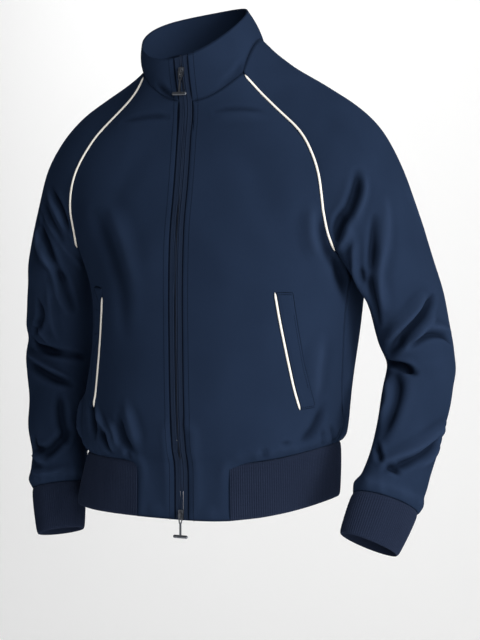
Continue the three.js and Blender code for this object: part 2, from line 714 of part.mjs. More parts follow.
function pocketPiping(front) {
  const [first, last] = POCKET_ROWS;
  const points = [];
  const ups = [];
  for (let i = first; i <= last; i += 1) {
    const p = front.grid[i][WELT_COLUMN].clone();
    const toZip = front.grid[i][WELT_COLUMN - 1].clone().sub(p).normalize();
    points.push(p.addScaledVector(toZip, PIPING_WIDTH / 2 + REST_GAP));
    ups.push(normalAt(front.grid[i][WELT_COLUMN]));
  }
  points[0].lerp(points[1], POCKET_PIPING_START[sideName(front.side)]);
  return bead(points, ups, PIPING_WIDTH, PIPING_HEIGHT + 0.6, points.map(() => REST_GAP + 0.15));
}

// Zip: the line between the front edges, from the hem to the rim of the collar.
const zipLine = [
  ...collar.grid.map((row) => [row[0], row[row.length - 1]]),
  ...fronts.left.grid.slice(1).map((row, i) => [row[0], fronts.right.grid[i + 1][0]]),
];
const zipMiddle = ([left, right]) => left.clone().add(right).multiplyScalar(0.5);
const zipUps = zipLine.map((pair, i) => {
  const from = zipMiddle(zipLine[Math.max(0, i - 1)]);
  const to = zipMiddle(zipLine[Math.min(zipLine.length - 1, i + 1)]);
  const across = pair[0].clone().sub(pair[1]);
  return to.sub(from).cross(across).normalize();
});
function zipStrip(from, to, outside, inside) {
  const across = (offset) => ([left, right]) => right.clone().lerp(left, 0.5 + offset / (2 * ZIP_HALF));
  const grid = zipLine.map((pair) => [across(from)(pair), across(to)(pair)]);
  return wall({
    grid,
    normal: (i) => zipUps[i],
    outside: () => outside,
    inside: () => inside,
  });
}

// Sliders and pulls. Local axes: x across the zip, y into the cloth, z up along the zip.
const SLIDER = { wide: 8.4, narrow: 6.4, long: 13, thick: 1.8, lift: 0.9 };
const BRIDGE = { width: 2.4, long: 9, bar: 1.1, window: 2.3 };
const PULL = { wire: 1.5, wide: 7.4, long: 12, stem: 2.6, bar: 22, barHeight: 4.6, total: 32 };
const PIVOT_Y = -(SLIDER.lift + SLIDER.thick + BRIDGE.window / 2);

const wasm = await Module();
wasm.setup();
function solidOf(geometry) {
  const bare = geometry.clone();
  bare.deleteAttribute('normal');
  bare.deleteAttribute('uv');
  const merged = mergeVertices(bare, 1e-4);
  const index = merged.getIndex().array;
  const triangles = [];
  for (let t = 0; t < index.length; t += 3) {
    const [a, b, c] = index.slice(t, t + 3);
    if (a !== b && b !== c && c !== a) triangles.push(a, b, c);
  }
  return new wasm.Manifold(new wasm.Mesh({
    numProp: 3,
    vertProperties: new Float32Array(merged.getAttribute('position').array),
    triVerts: new Uint32Array(triangles),
  }));
}
function joined(...geometries) {
  const solid = geometries.map(solidOf).reduce((a, b) => a.add(b));
  const mesh = solid.getMesh();
  return geometryOf([...mesh.vertProperties], [...mesh.triVerts]);
}
// A flat plate of an outline drawn in x and z, from y = back to y = back - thick.
function plate(shape, backY, thick) {
  const geometry = new THREE.ExtrudeGeometry(shape, { depth: thick, bevelEnabled: false, curveSegments: 5 });
  return geometry.rotateX(Math.PI / 2).translate(0, backY, 0);
}
function outline(points, radius) {
  const shape = new THREE.Shape();
  points.forEach(([x, z], i) => {
    const previous = points[(i + points.length - 1) % points.length];
    const next = points[(i + 1) % points.length];
    const towards = ([a, b]) => {
      const d = Math.hypot(a - x, b - z);
      return [x + ((a - x) * radius) / d, z + ((b - z) * radius) / d];
    };
    const [from, to] = [towards(previous), towards(next)];
    if (i === 0) shape.moveTo(...from);
    else shape.lineTo(...from);
    shape.quadraticCurveTo(x, z, ...to);
  });
  shape.closePath();
  return shape;
}
function sliderBody() {
  const { wide, narrow, long, thick, lift } = SLIDER;
  const top = plate(outline([[-wide / 2, long / 2], [wide / 2, long / 2], [narrow / 2, -long / 2],
    [-narrow / 2, -long / 2]], 1.6), -lift, thick);
  const { width, long: span, bar, window } = BRIDGE;
  const foot = 1.2;
  const arch = new THREE.Shape();
  const base = lift + thick - 0.3;
  const rise = lift + thick + window;
  arch.moveTo(-span / 2, base).lineTo(-span / 2, rise).lineTo(-span / 2 + 1, rise + bar);
  arch.lineTo(span / 2 - 1, rise + bar).lineTo(span / 2, rise).lineTo(span / 2, base);
  arch.lineTo(span / 2 - foot, base).lineTo(span / 2 - foot, rise).lineTo(-span / 2 + foot, rise);
  arch.lineTo(-span / 2 + foot, base).closePath();
  const bridge = new THREE.ExtrudeGeometry(arch, { depth: width, bevelEnabled: false });
  // The outline's x runs up the zip and its y runs out of the cloth.
  bridge.translate(0, 0, -width / 2);
  bridge.applyMatrix4(new THREE.Matrix4().makeBasis(v3(0, 0, 1), v3(0, -1, 0), v3(1, 0, 0)));
  return joined(top, bridge);
}
function pullTab() {
  const { wire, wide, long, stem, bar, barHeight, total } = PULL;
  const ring = outline([[-wide / 2, wire / 2], [-stem / 2 - 0.6, -long], [stem / 2 + 0.6, -long],
    [wide / 2, wire / 2]], 1.2);
  const hole = outline([[-wide / 2 + wire, -wire / 2], [wide / 2 - wire, -wire / 2], [0.9, -long + 1.6],
    [-0.9, -long + 1.6]], 0.5);
  ring.holes.push(hole);
  const loop = plate(ring, PIVOT_Y + wire / 2, wire);
  const neck = new THREE.BoxGeometry(stem, wire, total - long - barHeight / 2 + 0.6);
  neck.translate(0, PIVOT_Y, -(long + total - barHeight / 2) / 2 + 0.1);
  const grip = new THREE.CapsuleGeometry(barHeight / 2, bar - barHeight, 3, 10);
  grip.rotateZ(Math.PI / 2).scale(1, 0.72, 1).translate(0, PIVOT_Y, -total + barHeight / 2);
  return joined(loop, neck, grip);
}

// Placed on the zip at a height, turned to lie along it.
function onZip(z) {
  const middles = zipLine.map(zipMiddle);
  const k = middles.findIndex((p, i) => i > 0 && p.z <= z);
  const [above, below] = [middles[k - 1], middles[k]];
  const t = (above.z - z) / (above.z - below.z);
  const group = new THREE.Group();
  group.position.copy(above.clone().lerp(below, t)).addScaledVector(zipUps[k], CHAIN_RISE);
  const fall = above.clone().sub(below);
  group.rotation.x = Math.atan2(fall.y, fall.z) * -1;
  return group;
}

// Finishes
const NAVY = new THREE.Color(0x262e42);
const RIB_NAVY = new THREE.Color(0x2a3046);
const IVORY = new THREE.Color(0xe6ded2);
const TAPE_NAVY = new THREE.Color(0x1f2636);
const GUNMETAL = new THREE.Color(0x3a3c40);
const CHAIN_RISE = 0.4;
const finish = (color, roughness, metalness = 0) => new THREE.MeshStandardMaterial({ color, roughness, metalness });

const jacket = new THREE.Group();
function piece(name, geometry, color, roughness, metalness, parent = jacket) {
  const mesh = new THREE.Mesh(geometry, finish(color, roughness, metalness));
  mesh.name = name;
  parent.add(mesh);
}

for (const side of ['left', 'right']) {
  const front = fronts[side];
  piece(`front_${side}`, clothWall(front, CLOTH), NAVY, 0.6);
  piece(`sleeve_${side}`, clothWall(sleeves[side], CLOTH, { loopFrom: CAP_ROWS }), NAVY, 0.6);
  piece(`pocket_welt_${side}`, weltWall(front), NAVY, 0.6);
  piece(`pocket_piping_${side}`, pocketPiping(front), IVORY, 0.55);
  piece(`raglan_piping_${side}`, raglanPiping(front, sleeves[side]), IVORY, 0.55);
  piece(`cuff_${side}`, ribWall(bands[`cuff_${side}`]), RIB_NAVY, 0.8);
}
piece('back', clothWall(back, CLOTH), NAVY, 0.6);
piece('collar', clothWall(collar, COLLAR_CLOTH), NAVY, 0.6);
piece('hem_rib', ribWall(bands.hem_rib), RIB_NAVY, 0.8);
piece('zip_tape_left', zipStrip(CHAIN_HALF, ZIP_HALF, -0.3, -1.4), TAPE_NAVY, 0.8);
piece('zip_tape_right', zipStrip(-ZIP_HALF, -CHAIN_HALF, -0.3, -1.4), TAPE_NAVY, 0.8);
piece('zip_chain', zipStrip(-CHAIN_HALF, CHAIN_HALF, CHAIN_RISE, -1.6), TAPE_NAVY, 0.5);

for (const [name, z] of [['top', -34], ['bottom', -630]]) {
  const place = onZip(z);
  piece(`${name}_slider`, sliderBody(), GUNMETAL, 0.35, 0.9, place);
  piece(`${name}_pull`, pullTab(), GUNMETAL, 0.35, 0.9, place);
  jacket.add(place);
}

export default jacket;
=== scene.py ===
# Track jacket in its worn form: cloth shells, ribbed bands, piping, zip and stitching, built on the frame.
import math

import bmesh
import bpy
import numpy as np
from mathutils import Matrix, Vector, noise
from mathutils.bvhtree import BVHTree
from mathutils.kdtree import KDTree


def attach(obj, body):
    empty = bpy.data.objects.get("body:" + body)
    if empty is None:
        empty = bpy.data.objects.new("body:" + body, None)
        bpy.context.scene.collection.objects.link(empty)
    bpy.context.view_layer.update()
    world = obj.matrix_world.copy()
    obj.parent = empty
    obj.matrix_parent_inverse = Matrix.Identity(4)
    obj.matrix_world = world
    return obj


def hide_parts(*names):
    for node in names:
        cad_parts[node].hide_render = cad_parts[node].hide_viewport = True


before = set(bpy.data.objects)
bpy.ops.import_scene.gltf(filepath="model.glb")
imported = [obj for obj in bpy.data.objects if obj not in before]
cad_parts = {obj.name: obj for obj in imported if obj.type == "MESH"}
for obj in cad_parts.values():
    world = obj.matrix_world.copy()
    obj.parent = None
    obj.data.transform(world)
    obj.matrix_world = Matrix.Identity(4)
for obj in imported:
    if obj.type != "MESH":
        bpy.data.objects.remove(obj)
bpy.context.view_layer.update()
bpy.ops.object.select_all(action="DESELECT")

MM = 0.001
CLOTH = 1.6
COLLAR_CLOTH = 2.4
RIB_PITCH = 3.0
RIB_RISE = 0.8
ZIP_HALF = 9.5

# ---------------------------------------------------------------- camera, light and stage

CAMERA_AT = (1.083, -2.357, -0.193)
CAMERA_AIM = (0.0281, 0.0125, -0.374)
LENS = 104.46
FLOOR_Z = -1.42


def aim(obj, at, target):
    obj.location = at
    way = Vector(target) - Vector(at)
    obj.rotation_euler = way.to_track_quat("-Z", "Y").to_euler()


def make_camera():
    data = bpy.data.cameras.new("camera")
    data.lens = LENS
    data.sensor_width = 36
    data.clip_end = 50
    camera = bpy.data.objects.new("camera", data)
    bpy.context.scene.collection.objects.link(camera)
    aim(camera, CAMERA_AT, CAMERA_AIM)
    bpy.context.scene.camera = camera


LIGHTS = [
    # name, place, aim, width, height, watts, colour
    ("key", (3.0, -1.3, 0.5), (0.1, 0.0, -0.35), 0.9, 1.6, 104, (1.0, 0.985, 0.96)),
    ("front", (2.0, -2.7, 0.6), (0.0, 0.0, -0.35), 1.4, 1.4, 42, (1.0, 0.99, 0.98)),
    ("top", (0.5, -0.2, 2.4), (0.0, 0.0, -0.3), 1.4, 1.4, 16, (1.0, 1.0, 1.0)),
    ("wall_left", (-1.6, 2.2, 0.8), (-0.6, 4.0, -0.3), 2.4, 2.0, 20, (1.0, 1.0, 1.0)),
    ("wall_right", (1.6, 2.2, 0.8), (0.6, 4.0, -0.3), 2.4, 2.0, 3, (1.0, 1.0, 1.0)),
]


def make_lights():
    for name, place, target, width, height, watts, colour in LIGHTS:
        data = bpy.data.lights.new(name, "AREA")
        data.shape = "RECTANGLE"
        data.size = width
        data.size_y = height
        data.energy = watts
        data.color = colour
        light = bpy.data.objects.new(name, data)
        bpy.context.scene.collection.objects.link(light)
        aim(light, place, target)
    world = bpy.data.worlds.new("studio")
    world.use_nodes = True
    background = world.node_tree.nodes["Background"]
    background.inputs["Color"].default_value = (0.95, 0.97, 1.0, 1)
    background.inputs["Strength"].default_value = 0.13
    bpy.context.scene.world = world
    bpy.context.scene.view_settings.view_transform = "Standard"


# ---------------------------------------------------------------- materials


class Flow:
    """A shader socket that takes part in arithmetic: each sign adds one Math node."""

    def __init__(self, tree, socket):
        self.tree = tree
        self.socket = socket

    def math(self, operation, first, second=0.0):
        return shader(self.tree, "ShaderNodeMath", {"operation": operation}, {0: first, 1: second})

    def __add__(self, other):
        return self.math("ADD", self, other)

    def __radd__(self, other):
        return self.math("ADD", other, self)

    def __sub__(self, other):
        return self.math("SUBTRACT", self, other)

    def __rsub__(self, other):
        return self.math("SUBTRACT", other, self)

    def __mul__(self, other):
        return self.math("MULTIPLY", self, other)

    def __rmul__(self, other):
        return self.math("MULTIPLY", other, self)

    def __truediv__(self, other):
        return self.math("DIVIDE", self, other)

    def __pow__(self, other):
        return self.math("POWER", self, other)


def shader(tree, kind, settings=None, inputs=None, output=0):
    """Adds any node: settings first (a ramp's stops among them), then values or links for its sockets."""
    node = tree.nodes.new(kind)
    for key, value in (settings or {}).items():
        if key == "stops":
            ramp = node.color_ramp
            while len(ramp.elements) < len(value):
                ramp.elements.new(0.5)
            for element, (place, colour) in zip(ramp.elements, value):
                element.position = place
                element.color = (*colour, 1) if len(colour) == 3 else colour
        else:
            setattr(node, key, value)
    for key, value in (inputs or {}).items():
        socket = node.inputs[key]
        if isinstance(value, Flow):
            tree.links.new(value.socket, socket)
        else:
            socket.default_value = value
    return Flow(tree, node.outputs[output])


def colour_mix(tree, share, first, second):
    return shader(
        tree,
        "ShaderNodeMix",
        {"data_type": "RGBA"},
        {0: share, 6: (*first, 1) if isinstance(first, tuple) else first,
         7: (*second, 1) if isinstance(second, tuple) else second},
        output=2,
    )


def start_material(name, constants):
    material = bpy.data.materials.new(name)
    material.use_nodes = True
    tree = material.node_tree
    base = tree.nodes["Principled BSDF"]
    for key, value in constants.items():
        base.inputs[key].default_value = value
    place = shader(tree, "ShaderNodeTexCoord", {}, {}, output=3)
    return material, tree, base, place


def feed(tree, base, **flows):
    for key, flow in flows.items():
        tree.links.new(flow.socket, base.inputs[key.replace("_", " ")])


def soft_noise(tree, place, scale, detail=2.0, rough=0.5):
    return shader(tree, "ShaderNodeTexNoise", {}, {"Vector": place, "Scale": scale, "Detail": detail,
                                                   "Roughness": rough})


def stretched(tree, place, scale):
    return shader(tree, "ShaderNodeMapping", {}, {"Vector": place, "Scale": scale})


def bump(tree, height, distance, strength=1.0):
    return shader(tree, "ShaderNodeBump", {}, {"Height": height, "Distance": distance, "Strength": strength})


# Painted shade in the troughs of the creases and painted light on their ridges, both read from the fold height.
PAINTED_SHADE_NAVY = (0.0018, 0.0032, 0.0075)
PAINTED_SHADE_A_MM = -0.13
PAINTED_SHADE_MOST = 0.62
PAINTED_LIGHT_NAVY = (0.027, 0.045, 0.09)
PAINTED_LIGHT_A_MM = 0.07
PAINTED_LIGHT_MOST = 0.3


def knit_material(name, dark, light, roughness, sheen, grain=1.0):
    """Smooth warp knit: fine upright wales, cloudiness, a soft sheen, painted shade in the creases' troughs and
    painted light on their ridges.
    """
    material, tree, base, place = start_material(name, {
        "Sheen Weight": sheen,
        "Sheen Roughness": 0.4,
        "Sheen Tint": (0.32, 0.52, 1.0, 1),
        "Specular IOR Level": 0.0,
    })
    cloud = soft_noise(tree, place, 9.0, 3.0)
    fleck = soft_noise(tree, place, 900.0, 2.0, 0.6)
    wale = soft_noise(tree, stretched(tree, place, (1500.0, 1500.0, 420.0)), 1.0, 1.0)
    tone = cloud * 0.5 + fleck * 0.3 + wale * 0.2
    fold = shader(tree, "ShaderNodeAttribute", {"attribute_name": "fold"}, {}, output=2)
    plain = colour_mix(tree, (tone - 0.3) * 2.2, dark, light)
    # Painted shade where the fold height is low, painted light where it is high.
    deep = shader(tree, "ShaderNodeClamp", {}, {0: fold * PAINTED_SHADE_A_MM, 1: 0.0, 2: PAINTED_SHADE_MOST})
    painted_light_share = shader(tree, "ShaderNodeClamp", {}, {0: fold * PAINTED_LIGHT_A_MM, 1: 0.0, 2: PAINTED_LIGHT_MOST})
    folded = colour_mix(tree, painted_light_share, colour_mix(tree, deep, plain, PAINTED_SHADE_NAVY), PAINTED_LIGHT_NAVY)
    feed(
        tree,
        base,
        Base_Color=folded,
        Roughness=cloud * 0.1 + fleck * 0.08 + (roughness - 0.09),
        Normal=bump(tree, wale * 0.6 + fleck * 0.4, 0.00025 * grain, 0.35),
    )
    return material


def rib_material():
    """Rib knit: real ribs in the mesh, with small loops across them."""
    material, tree, base, place = start_material("rib_knit", {
        "Sheen Weight": 0.08,
        "Sheen Roughness": 0.5,
        "Sheen Tint": (0.45, 0.6, 1.0, 1),
        "Specular IOR Level": 0.0,
    })
    loops = shader(tree, "ShaderNodeTexWave", {"wave_type": "BANDS", "bands_direction": "Z"},
                   {"Vector": place, "Scale": 170.0, "Distortion": 1.6, "Detail": 2.0, "Detail Scale": 4.0})
    fleck = soft_noise(tree, place, 700.0, 2.0)
    cloud = soft_noise(tree, place, 14.0)
    feed(
        tree,
        base,
        Base_Color=colour_mix(tree, (cloud * 0.4 + loops * 0.25 + fleck * 0.35 - 0.2) * 1.6,
                              (0.0085, 0.0125, 0.0255), (0.0175, 0.0245, 0.048)),
        Roughness=fleck * 0.12 + 0.72,
        Normal=bump(tree, loops * 0.6 + fleck * 0.4, 0.0004, 0.5),
    )
    return material


def piping_material():
    """Ivory satin piping: a fine twill wound across the cord."""
    material, tree, base, place = start_material("ivory_piping", {
        "Sheen Weight": 0.3,
        "Sheen Roughness": 0.4,
        "Specular IOR Level": 0.45,
    })
    twill = shader(tree, "ShaderNodeTexWave", {"wave_type": "BANDS", "bands_direction": "DIAGONAL"},
                   {"Vector": place, "Scale": 420.0, "Distortion": 0.6})
    cloud = soft_noise(tree, place, 60.0, 3.0)
    feed(
        tree,
        base,
        Base_Color=colour_mix(tree, cloud * 0.7 + twill * 0.3, (0.78, 0.74, 0.66), (0.95, 0.92, 0.86)),
        Roughness=cloud * 0.15 + 0.4,
        Normal=bump(tree, twill * 0.7 + cloud * 0.3, 0.0002, 0.5),
    )
    return material


def tape_material():
    """Woven zip tape: a matt, close herringbone."""
    material, tree, base, place = start_material("zip_tape", {"Specular IOR Level": 0.06})
    rows = shader(tree, "ShaderNodeTexWave", {"wave_type": "BANDS", "bands_direction": "Z"},
                  {"Vector": place, "Scale": 260.0, "Distortion": 0.8})
    columns = shader(tree, "ShaderNodeTexWave", {"wave_type": "BANDS", "bands_direction": "X"},
                     {"Vector": place, "Scale": 300.0, "Distortion": 0.8})
    weave = rows * 0.5 + columns * 0.5
    feed(
        tree,
        base,
        Base_Color=colour_mix(tree, weave, (0.0085, 0.0150, 0.0320), (0.0135, 0.0235, 0.0490)),
        Roughness=weave * 0.1 + 0.68,
        Normal=bump(tree, weave, 0.0003, 0.4),
    )
    return material


def coil_material():
    """Nylon coil of the zip, slightly glossy."""
    material, tree, base, place = start_material("zip_coil", {"Specular IOR Level": 0.12})
    fleck = soft_noise(tree, place, 500.0, 2.0)
    feed(
        tree,
        base,
        Base_Color=colour_mix(tree, fleck, (0.003, 0.0045, 0.009), (0.010, 0.014, 0.024)),
        Roughness=fleck * 0.12 + 0.36,
    )
    return material


def metal_material():
    """Dark gunmetal plating, worn paler in fine scratches."""
    material, tree, base, place = start_material("zip_metal", {"Metallic": 1.0})
    brush = soft_noise(tree, stretched(tree, place, (900.0, 900.0, 160.0)), 1.0, 3.0)
    blotch = soft_noise(tree, place, 260.0, 2.0)
    feed(
        tree,
        base,
        Base_Color=colour_mix(tree, blotch * 0.6 + brush * 0.4, (0.08, 0.086, 0.10), (0.30, 0.32, 0.36)),
        Roughness=brush * 0.2 + 0.24,
        Normal=bump(tree, brush, 0.00008, 0.4),
    )
    return material


def floor_material():
    """Matt and very faintly self-lit; seen from behind it lets the view through."""
    settings = {"Specular IOR Level": 0.0, "Emission Color": (1, 1, 1, 1), "Emission Strength": 0.2}
    material, tree, base, place = start_material("studio_floor", settings)
    cloud = soft_noise(tree, place, 0.6)
    feed(
        tree,
        base,
        Base_Color=colour_mix(tree, cloud, (0.78, 0.78, 0.78), (0.82, 0.82, 0.82)),
        Roughness=cloud * 0.1 + 0.85,
    )
    behind = shader(tree, "ShaderNodeNewGeometry", {}, {}, output=6)
    clear = shader(tree, "ShaderNodeBsdfTransparent")
    both = shader(tree, "ShaderNodeMixShader", {}, {0: behind, 1: Flow(tree, base.outputs[0]), 2: clear})
    tree.links.new(both.socket, tree.nodes["Material Output"].inputs["Surface"])
    return material


# ---------------------------------------------------------------- mesh helpers


def new_piece(name, verts, faces, smooth=True):
    """verts in millimetres."""
    mesh = bpy.data.meshes.new(name)
    mesh.from_pydata([tuple(v) for v in np.asarray(verts, float) * MM], [], [tuple(map(int, f)) for f in faces])
    mesh.update()
    obj = bpy.data.objects.new(name, mesh)
    bpy.context.scene.collection.objects.link(obj)
    if smooth:
        mesh.polygons.foreach_set("use_smooth", [True] * len(mesh.polygons))
    return obj


def apply_modifiers(obj):
    bpy.context.view_layer.objects.active = obj
    obj.select_set(True)
    for modifier in list(obj.modifiers):
        bpy.ops.object.modifier_apply(modifier=modifier.name)
    obj.select_set(False)


def finish_piece(obj, material, body="jacket", replaces=()):
    obj.data.materials.clear()
    obj.data.materials.append(material)
    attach(obj, body)
    if replaces:
        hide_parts(*replaces)


def make_stage():
    """A floor that sweeps up into a wall behind."""
    profile = [(-4.5, 0.0), (2.0, 0.0)]
    radius = 1.6
    for k in range(1, 17):
        turn = math.pi / 2 * k / 16
        profile.append((2.0 + radius * math.sin(turn), radius * (1 - math.cos(turn))))
    profile.append((2.0 + radius, 5.0))
    verts = [(x * 1000, y * 1000, (FLOOR_Z + z) * 1000) for y, z in profile for x in (-5.0, 5.0)]
    faces = [(2 * k, 2 * k + 1, 2 * k + 3, 2 * k + 2) for k in range(len(profile) - 1)]
    stage = new_piece("studio_sweep", verts, faces)
    stage.data.materials.append(floor_material())


# ---------------------------------------------------------------- cloth shells

WELD = 0.00002
FOLD_SHARE = 1.55
RIM_SHORT = (0.0, 1.25)
RIM_EXACT = (0.985, 1.015)


def welded(node):
    bm = bmesh.new()
    bm.from_mesh(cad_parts[node].data)
    bmesh.ops.remove_doubles(bm, verts=bm.verts[:], dist=WELD)
    return bm


def squared(bm):
    """Joins the triangles of a welded wall back into the squares that they were cut from."""
    bmesh.ops.join_triangles(bm, faces=bm.faces[:], cmp_seam=False, cmp_sharp=False, cmp_uvs=False,
                             angle_face_threshold=math.pi, angle_shape_threshold=math.pi)
    bm.faces.index_update()


def skins(node, thickness, exact=False):
    """The wall of a CAD node parted at its rim: its faces as two welded quad meshes, the outer one first.

    The rim's faces are those with a short edge or, if exact, with an edge just as long as the wall is thick.
    """
    bm = welded(node)
    least, most = RIM_EXACT if exact else RIM_SHORT
    rim = [f for f in bm.faces if any(least < e.calc_length() / (thickness * MM) < most for e in f.edges)]
    bmesh.ops.delete(bm, geom=rim, context="FACES")
    squared(bm)
    seen = set()
    parts = []
    for face in bm.faces:
        if face.index in seen:
            continue
        seen.add(face.index)
        heap = [face]
        part = []
        while heap:
            f = heap.pop()
            part.append(f)
            for edge in f.edges:
                for other in edge.link_faces:
                    if other.index not in seen:
                        seen.add(other.index)
                        heap.append(other)
        parts.append(part)
    parts.sort(key=lambda part: -sum(f.calc_area() for f in part))
    found = []
    for part in parts[:2]:
        verts = list({v.index: v for f in part for v in f.verts}.values())
        number = {v.index: k for k, v in enumerate(verts)}
        faces = [[number[v.index] for v in f.verts] for f in part]
        way = sum((f.normal * f.calc_area() for f in part), Vector())
        found.append((np.array([v.co / MM for v in verts]), faces, way))
    bm.free()
    return found


def subdivided(name, verts, faces, levels):
    obj = new_piece(name, verts, faces)
    smooth = obj.modifiers.new("smooth", "SUBSURF")
    smooth.levels = levels
    smooth.render_levels = levels
    smooth.boundary_smooth = "PRESERVE_CORNERS"
    apply_modifiers(obj)
    return obj


def points_of(obj):
    flat = np.empty(len(obj.data.vertices) * 3)
    obj.data.vertices.foreach_get("co", flat)
    return flat.reshape(-1, 3) / MM


def set_points(obj, points):
    obj.data.vertices.foreach_set("co", (np.asarray(points) * MM).ravel())
    obj.data.update()


def normals_of(obj):
    flat = np.empty(len(obj.data.vertices) * 3)
    obj.data.vertex_normals.foreach_get("vector", flat)
    return flat.reshape(-1, 3)


def thicken(obj, thickness):
    wall = obj.modifiers.new("wall", "SOLIDIFY")
    wall.thickness = thickness * MM
    wall.offset = -1
    apply_modifiers(obj)


def smooth_step(value):
    value = np.clip(value, 0, 1)
    return value * value * (3 - 2 * value)


def unit(vectors):
    vectors = np.asarray(vectors, float)
    return vectors / np.maximum(np.linalg.norm(vectors, axis=-1, keepdims=True), 1e-9)


def curve_through(points, step):
    """A smooth line through points, with a point about every step millimetres."""
    points = np.asarray(points, float)
    ends = np.vstack([2 * points[0] - points[1], points, 2 * points[-1] - points[-2]])
    line = []
    for a, b, c, d in zip(ends, ends[1:], ends[2:], ends[3:]):
        count = max(1, int(round(np.linalg.norm(c - b) / step)))
        for t in np.arange(count) / count:
            bend = (2 * a - 5 * b + 4 * c - d) * t * t + (3 * b - a - 3 * c + d) * t ** 3
            line.append(0.5 * (2 * b + (c - a) * t + bend))
    line.append(points[-1])
    return np.array(line)


def evenly(line, step):
    """The same line with its points exactly as far apart as step, or a little less."""
    run = np.concatenate([[0], np.cumsum(np.linalg.norm(np.diff(line[:, :3], axis=0), axis=1))])
    marks = np.linspace(0, run[-1], max(2, int(math.ceil(run[-1] / step)) + 1))
    return np.column_stack([np.interp(marks, run, column) for column in line.T])


def beside(points, line):
    """How far each point is from a line, and at which share of its length."""
    gap = np.full(len(points), 1e9)
    share = np.zeros(len(points))
    steps = np.linalg.norm(np.diff(line, axis=0), axis=1)
    run = 0
    for a, b, length in zip(line, line[1:], steps):
        way = (b - a) / max(length, 1e-9)
        t = np.clip((points - a) @ way, 0, length)
        d = np.linalg.norm(points - a - t[:, None] * way, axis=1)
        near = d < gap
        gap[near] = d[near]
        share[near] = (run + t[near]) / steps.sum()
        run += length
    return gap, share


def crease_height(points, creases):
    """Soft troughs (depth below 0) and ridges along lines, thinner and lower at their ends."""
    height = np.zeros(len(points))
    for width, depth, line in creases:
        line = curve_through(line, 8.0)
        reach = 3.6 * width
        near = np.all((points > line.min(0) - reach) & (points < line.max(0) + reach), axis=1)
        if not near.any():
            continue
        gap, share = beside(points[near], line)
        taper = smooth_step(np.minimum(share + 0.14, 1.14 - share) / 0.42)
        w = width * (0.72 + 0.28 * taper)
        fold = np.exp(-((gap / w) ** 2)) - 0.2 * np.exp(-(((gap - 2.1 * w) / (0.9 * w)) ** 2))
        height[near] += depth * taper * fold
    return height


def edge_pairs(obj):
    """The two ends of each edge on a sheet's border."""
    mesh = obj.data
    uses = np.zeros(len(mesh.loops), int)
    mesh.loops.foreach_get("edge_index", uses)
    single = np.flatnonzero(np.bincount(uses, minlength=len(mesh.edges)) == 1)
    ends = np.empty(len(mesh.edges) * 2, int)
    mesh.edges.foreach_get("vertices", ends)
    return ends.reshape(-1, 2)[single]


def kd_tree(points):
    tree = KDTree(len(points))
    for k, p in enumerate(points):
        tree.insert(p, k)
    tree.balance()
    return tree


def meet_at_seams(sheets):
    """Draws the borders of neighbouring sheets together to the line half way between them."""
    places = {name: points_of(obj) for name, obj in sheets.items()}
    pairs = {name: edge_pairs(obj) for name, obj in sheets.items()}
    dense = {}
    for name, ends in pairs.items():
        a, b = places[name][ends[:, 0]], places[name][ends[:, 1]]
        dense[name] = np.vstack([a + (b - a) * t for t in SEAM_STEPS])
    for name, obj in sheets.items():
        others = kd_tree(np.vstack([line for other, line in dense.items() if other != name]))
        rim = np.unique(pairs[name])
        pulls = []
        for p in places[name][rim]:
            near, _, gap = others.find(p)
            pulls.append((np.array(near) - p) / 2 if gap < SEAM_REACH else np.zeros(3))
        pulls = np.array(pulls)
        rim_tree = kd_tree(places[name][rim])
        moved = places[name].copy()
        for k, p in enumerate(places[name]):
            _, which, gap = rim_tree.find(p)
            if gap < SEAM_FADE:
                moved[k] = p + pulls[which] * (1 - smooth_step(gap / SEAM_FADE))
        set_points(obj, moved)


SEAM_STEPS = (0.0, 0.25, 0.5, 0.75)
SEAM_REACH = 7.0
SEAM_FADE = 16.0


def edge_points(obj):
    return points_of(obj)[np.unique(edge_pairs(obj))]


def distances(points, targets):
    tree = kd_tree(targets)
    return np.array([tree.find(p)[2] for p in points])


def cloudy(points, size, seed):
    """Smooth noise between -1 and 1 with humps about size millimetres long in each direction."""
    scaled = points / np.asarray(size, float) + seed
    return np.array([noise.noise(Vector(p)) for p in scaled])


